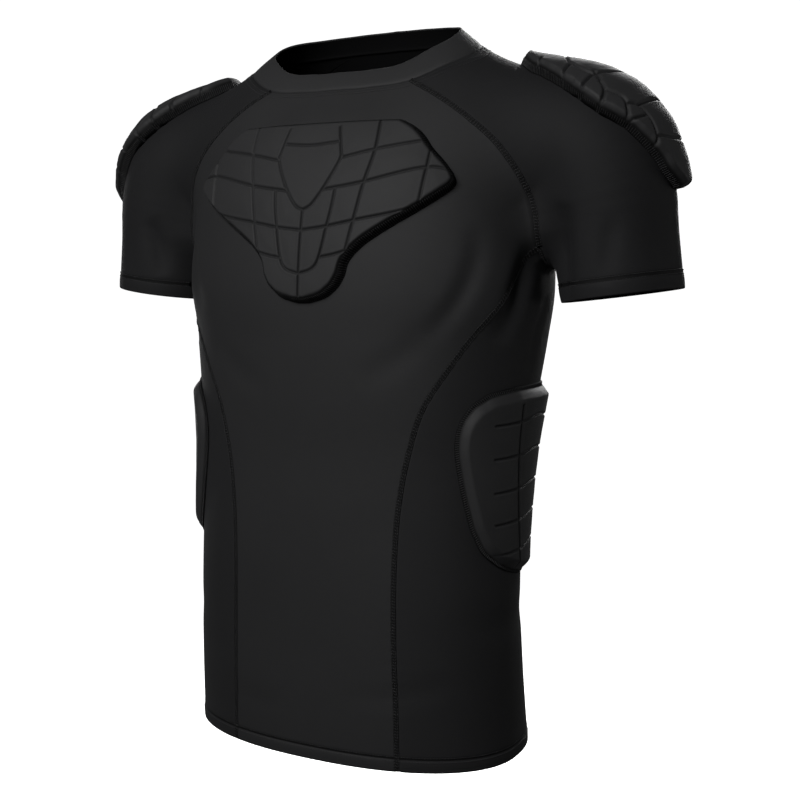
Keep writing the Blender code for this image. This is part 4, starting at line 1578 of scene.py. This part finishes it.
def tapes(name, lines):
    points = []
    faces = []
    start = 0
    section = np.array(TAPE_SECTION) * MM
    size = len(section)
    for line in lines:
        even = evenly(line, TAPE_STEP)
        ahead, across, outward = frame_along(even)
        seat_line = on_cloth(even)
        body = seat_line[:, None] + section[:, :1] * across[:, None] + section[:, 1:] * outward[:, None]
        points.append(body.reshape(-1, 3))
        faces += grid_faces(len(even), size, start, closed=True)
        faces.append(tuple(range(start + size - 1, start - 1, -1)))
        start += len(even) * size
        faces.append(tuple(range(start - size, start)))
    points = np.concatenate(points)
    # The tapes take the darker seam finish, which is painted shade.
    return place_mesh(name, points, faces, SHADED_SEAM_TAPE, trim_cut(points))


seam_tapes = tapes("seam_tapes", SEWN_LINES)
print("tapes:", len(SEWN_LINES), "lines,", round(sum(run_of(line) for line in SEWN_LINES), 2), "m")

# %% Spin the stitches
THREAD_RADIUS = 0.00027
THREAD_TAPER = 0.45
THREAD_BOW = (-0.15, 0.15, -0.15)
PITCH = 0.0027


def stitches(name, paths, outward):
    """Short spindles of thread along paths of the same number of points, as one mesh."""
    ahead = np.gradient(paths, axis=1)
    ahead /= np.linalg.norm(ahead, axis=2, keepdims=True)
    out = np.broadcast_to(outward[:, None], paths.shape)
    side = np.cross(ahead, out)
    side /= np.linalg.norm(side, axis=2, keepdims=True)
    out = np.cross(side, ahead)
    count = paths.shape[1]
    radius = np.full((count, 1), THREAD_RADIUS)
    radius[[0, -1]] *= THREAD_TAPER
    ring = np.stack([paths + radius * way for way in (side, out, -side, -out)], axis=2)
    faces = []
    own = grid_faces(count, 4, 0, closed=True) + [(3, 2, 1, 0), tuple(range(4 * count - 4, 4 * count))]
    for start in range(0, len(paths) * count * 4, count * 4):
        faces += [tuple(start + i for i in face) for face in own]
    points = ring.reshape(-1, 3)
    return place_mesh(name, points, faces, THREAD, trim_cut(points))


def bars(line, start, end, lift):
    """Bars at every pitch of a line. start and end are a bar's (along in pitches, across in metres)."""
    at = evenly(line, PITCH)
    ahead, across, outward = frame_along(at)
    seat_line = on_cloth(at)
    share = np.linspace(0, 1, 3)[None, :, None]
    move = [ahead * (PITCH * along) + across * aside + outward * lift for along, aside in (start, end)]
    bow = np.array(THREAD_BOW)[None, :, None] * MM * outward[:, None]
    paths = seat_line[:, None] + move[0][:, None] * (1 - share) + move[1][:, None] * share + bow
    return paths[1:-1], outward[1:-1]


def sew(name, parts):
    paths = np.concatenate([part[0] for part in parts])
    outward = np.concatenate([part[1] for part in parts])
    piece = stitches(name, paths, outward)
    print(name, "stitches:", len(paths))
    return piece


ROW_OFFSET = 0.0018
TAPE_TOP = 0.00058
STITCH_HALF = 0.40
LOOPER_HALF = 0.30
LOOPER_REACH = ROW_OFFSET * 0.8
LOOPER_TOP = TAPE_TOP - 0.0001


def stitch_row(line, offset=0, lift=TAPE_TOP):
    """A row of straight stitches beside a line."""
    return bars(line, (-STITCH_HALF, offset), (STITCH_HALF, offset), lift)


def looper_row(line):
    """The slanted threads between a seam's two rows."""
    return bars(line, (-LOOPER_HALF, -LOOPER_REACH), (LOOPER_HALF, LOOPER_REACH), LOOPER_TOP)


seam_parts = []
for line in SEWN_LINES:
    seam_parts += [stitch_row(line, -ROW_OFFSET), stitch_row(line, ROW_OFFSET), looper_row(line)]
sew("seam_stitches", seam_parts)

# %% [markdown]
# ## Stitches round the openings
# The hem and the cuffs are held by a twin-needle stitch on both sides of the groove, and a third pair runs
# just under the neckband. Their rows are level lines on the form, so they are found by bearing and height,
# or by measuring up the sleeve from the cuff's edge.

# %% Sew the hem, the cuffs and the neck
NEEDLES = (-0.0018, 0.0018)
TURN_STEP = 0.5
ALL_ROUND = np.arange(-180, 180 + TURN_STEP, TURN_STEP)
NECK_STITCH_DROPS = (0.0024, 0.0050)
NECK_STITCH_TOP = 0.0002


def hem_line(above):
    return on_bearing(ALL_ROUND, HEM_HEIGHT + above)


def cuff_line(above):
    """The line round the left sleeve that is this far above the cuff's edge."""
    from_edge = ring_run[-1] - ring_run
    points = []
    for c in range(rings.shape[1]):
        order = np.argsort(from_edge[:, c])
        points.append([np.interp(above, from_edge[order, c], rings[order, c, axis]) for axis in range(3)])
    return np.array(points + points[:1])


def neck_line(drop):
    return on_bearing(ALL_ROUND, neck_height(ALL_ROUND) - drop)


hem_parts = []
for needle in NEEDLES:
    hem_parts.append(stitch_row(hem_line(HEM_FOLD + needle)))
    for line in both_hands(cuff_line(CUFF_FOLD + needle)):
        hem_parts.append(stitch_row(line))
for drop in NECK_STITCH_DROPS:
    hem_parts.append(stitch_row(neck_line(drop), lift=NECK_STITCH_TOP))
edge_tapes = tapes("edge_tapes", [hem_line(HEM_FOLD)] + both_hands(cuff_line(CUFF_FOLD)))
sew("edge_stitches", hem_parts)

# %% [markdown]
# ## Stitched borders of the pads
# An overlock thread wraps each pad's border: short bars that climb the wall side by side. They stand on
# the pad's own height curve, so they touch the foam whatever its slope.

# %% Overlock the pads
OVERLOCK_PITCH = 0.0021
OVERLOCK_POINTS = 5
OVERLOCK_LEAN = 0.35


def overlock(rows, looks, reach):
    even = evenly(outline_of(rows), OVERLOCK_PITCH)[:-1]
    outward = normals(even)
    ahead = np.roll(even, -1, axis=0) - np.roll(even, 1, axis=0)
    ahead /= np.linalg.norm(ahead, axis=1, keepdims=True)
    inward = np.cross(outward, ahead)
    inward *= np.sign(np.einsum("ij,ij->i", inward, rows.reshape(-1, 3).mean(axis=0) - even))[:, None]
    steps = np.linspace(reach[0], reach[1], OVERLOCK_POINTS)
    height = wall_height(steps, looks)
    lean = np.linspace(0, OVERLOCK_LEAN, OVERLOCK_POINTS) * OVERLOCK_PITCH
    paths = even[:, None] + steps[:, None] * inward[:, None] + (PAD_SEAT + height[:, None]) * outward[:, None]
    paths += lean[:, None] * ahead[:, None] + crease_lift(even)[:, None, None] * outward[:, None]
    return paths, outward


WALL_REACH = (0.0002, 0.0046)
SHOULDER_REACH = (0.0002, 0.0016)
BORDER_REACH = (0.0002, 0.0038)
pad_parts = [overlock(chest_grid, CHEST_LOOKS, WALL_REACH)]
for hand in (LEFT, RIGHT):
    pad_parts.append(overlock(shoulder_grid * hand, SHOULDER_LOOKS, SHOULDER_REACH))
    pad_parts.append(overlock(rib_grid * hand, RIB_LOOKS, BORDER_REACH))
pad_stitches = sew("pad_stitches", pad_parts)

# %% [markdown]
# ## The panels' cut sizes
# Every panel is listed with the size that it is cut to. Elastic knit is cut smaller than the
# body and stretched on. The figures are estimates. The body's sum, the sleeve's area and the
# neckband's length come from how such a shirt usually measures when it lies flat. The sum is shared out
# between the panels as they measure when worn, so the frame's area check says little about a single panel.

SIDE_NAMES = ["side_panel_left", "side_panel_right"]
BODY_NAMES = ["front_panel", "back_panel"]
# The pieces, the box of their cut in metres, its area in square metres, and what they are sewn to.
CUTS = (
    ([front], 0.42, 0.71, 0.151, SIDE_NAMES),
    ([back_panel], 0.39, 0.76, 0.154, SIDE_NAMES),
    (list(side_pieces.values()), 0.26, 0.51, 0.107, BODY_NAMES),
    (list(sleeve_pieces.values()), 0.35, 0.36, 0.074, BODY_NAMES),
    ([neckband], 0.56, 0.023, 0.0128, BODY_NAMES),
)
for pieces, width, length, area, rests_on in CUTS:
    for piece in pieces:
        print(piece.name, "cut from", (width, length), "m, area", area)

# %% [markdown]
# ## Counting the triangles
# The triangles of every shown mesh are counted and printed, piece by piece and in all.

# %% Count the triangles
made = [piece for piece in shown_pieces() if piece.type == "MESH"]
triangles = {piece.name: sum(len(face.vertices) - 2 for face in piece.data.polygons) for piece in made}
print("triangles:", triangles, "in all", sum(triangles.values()))
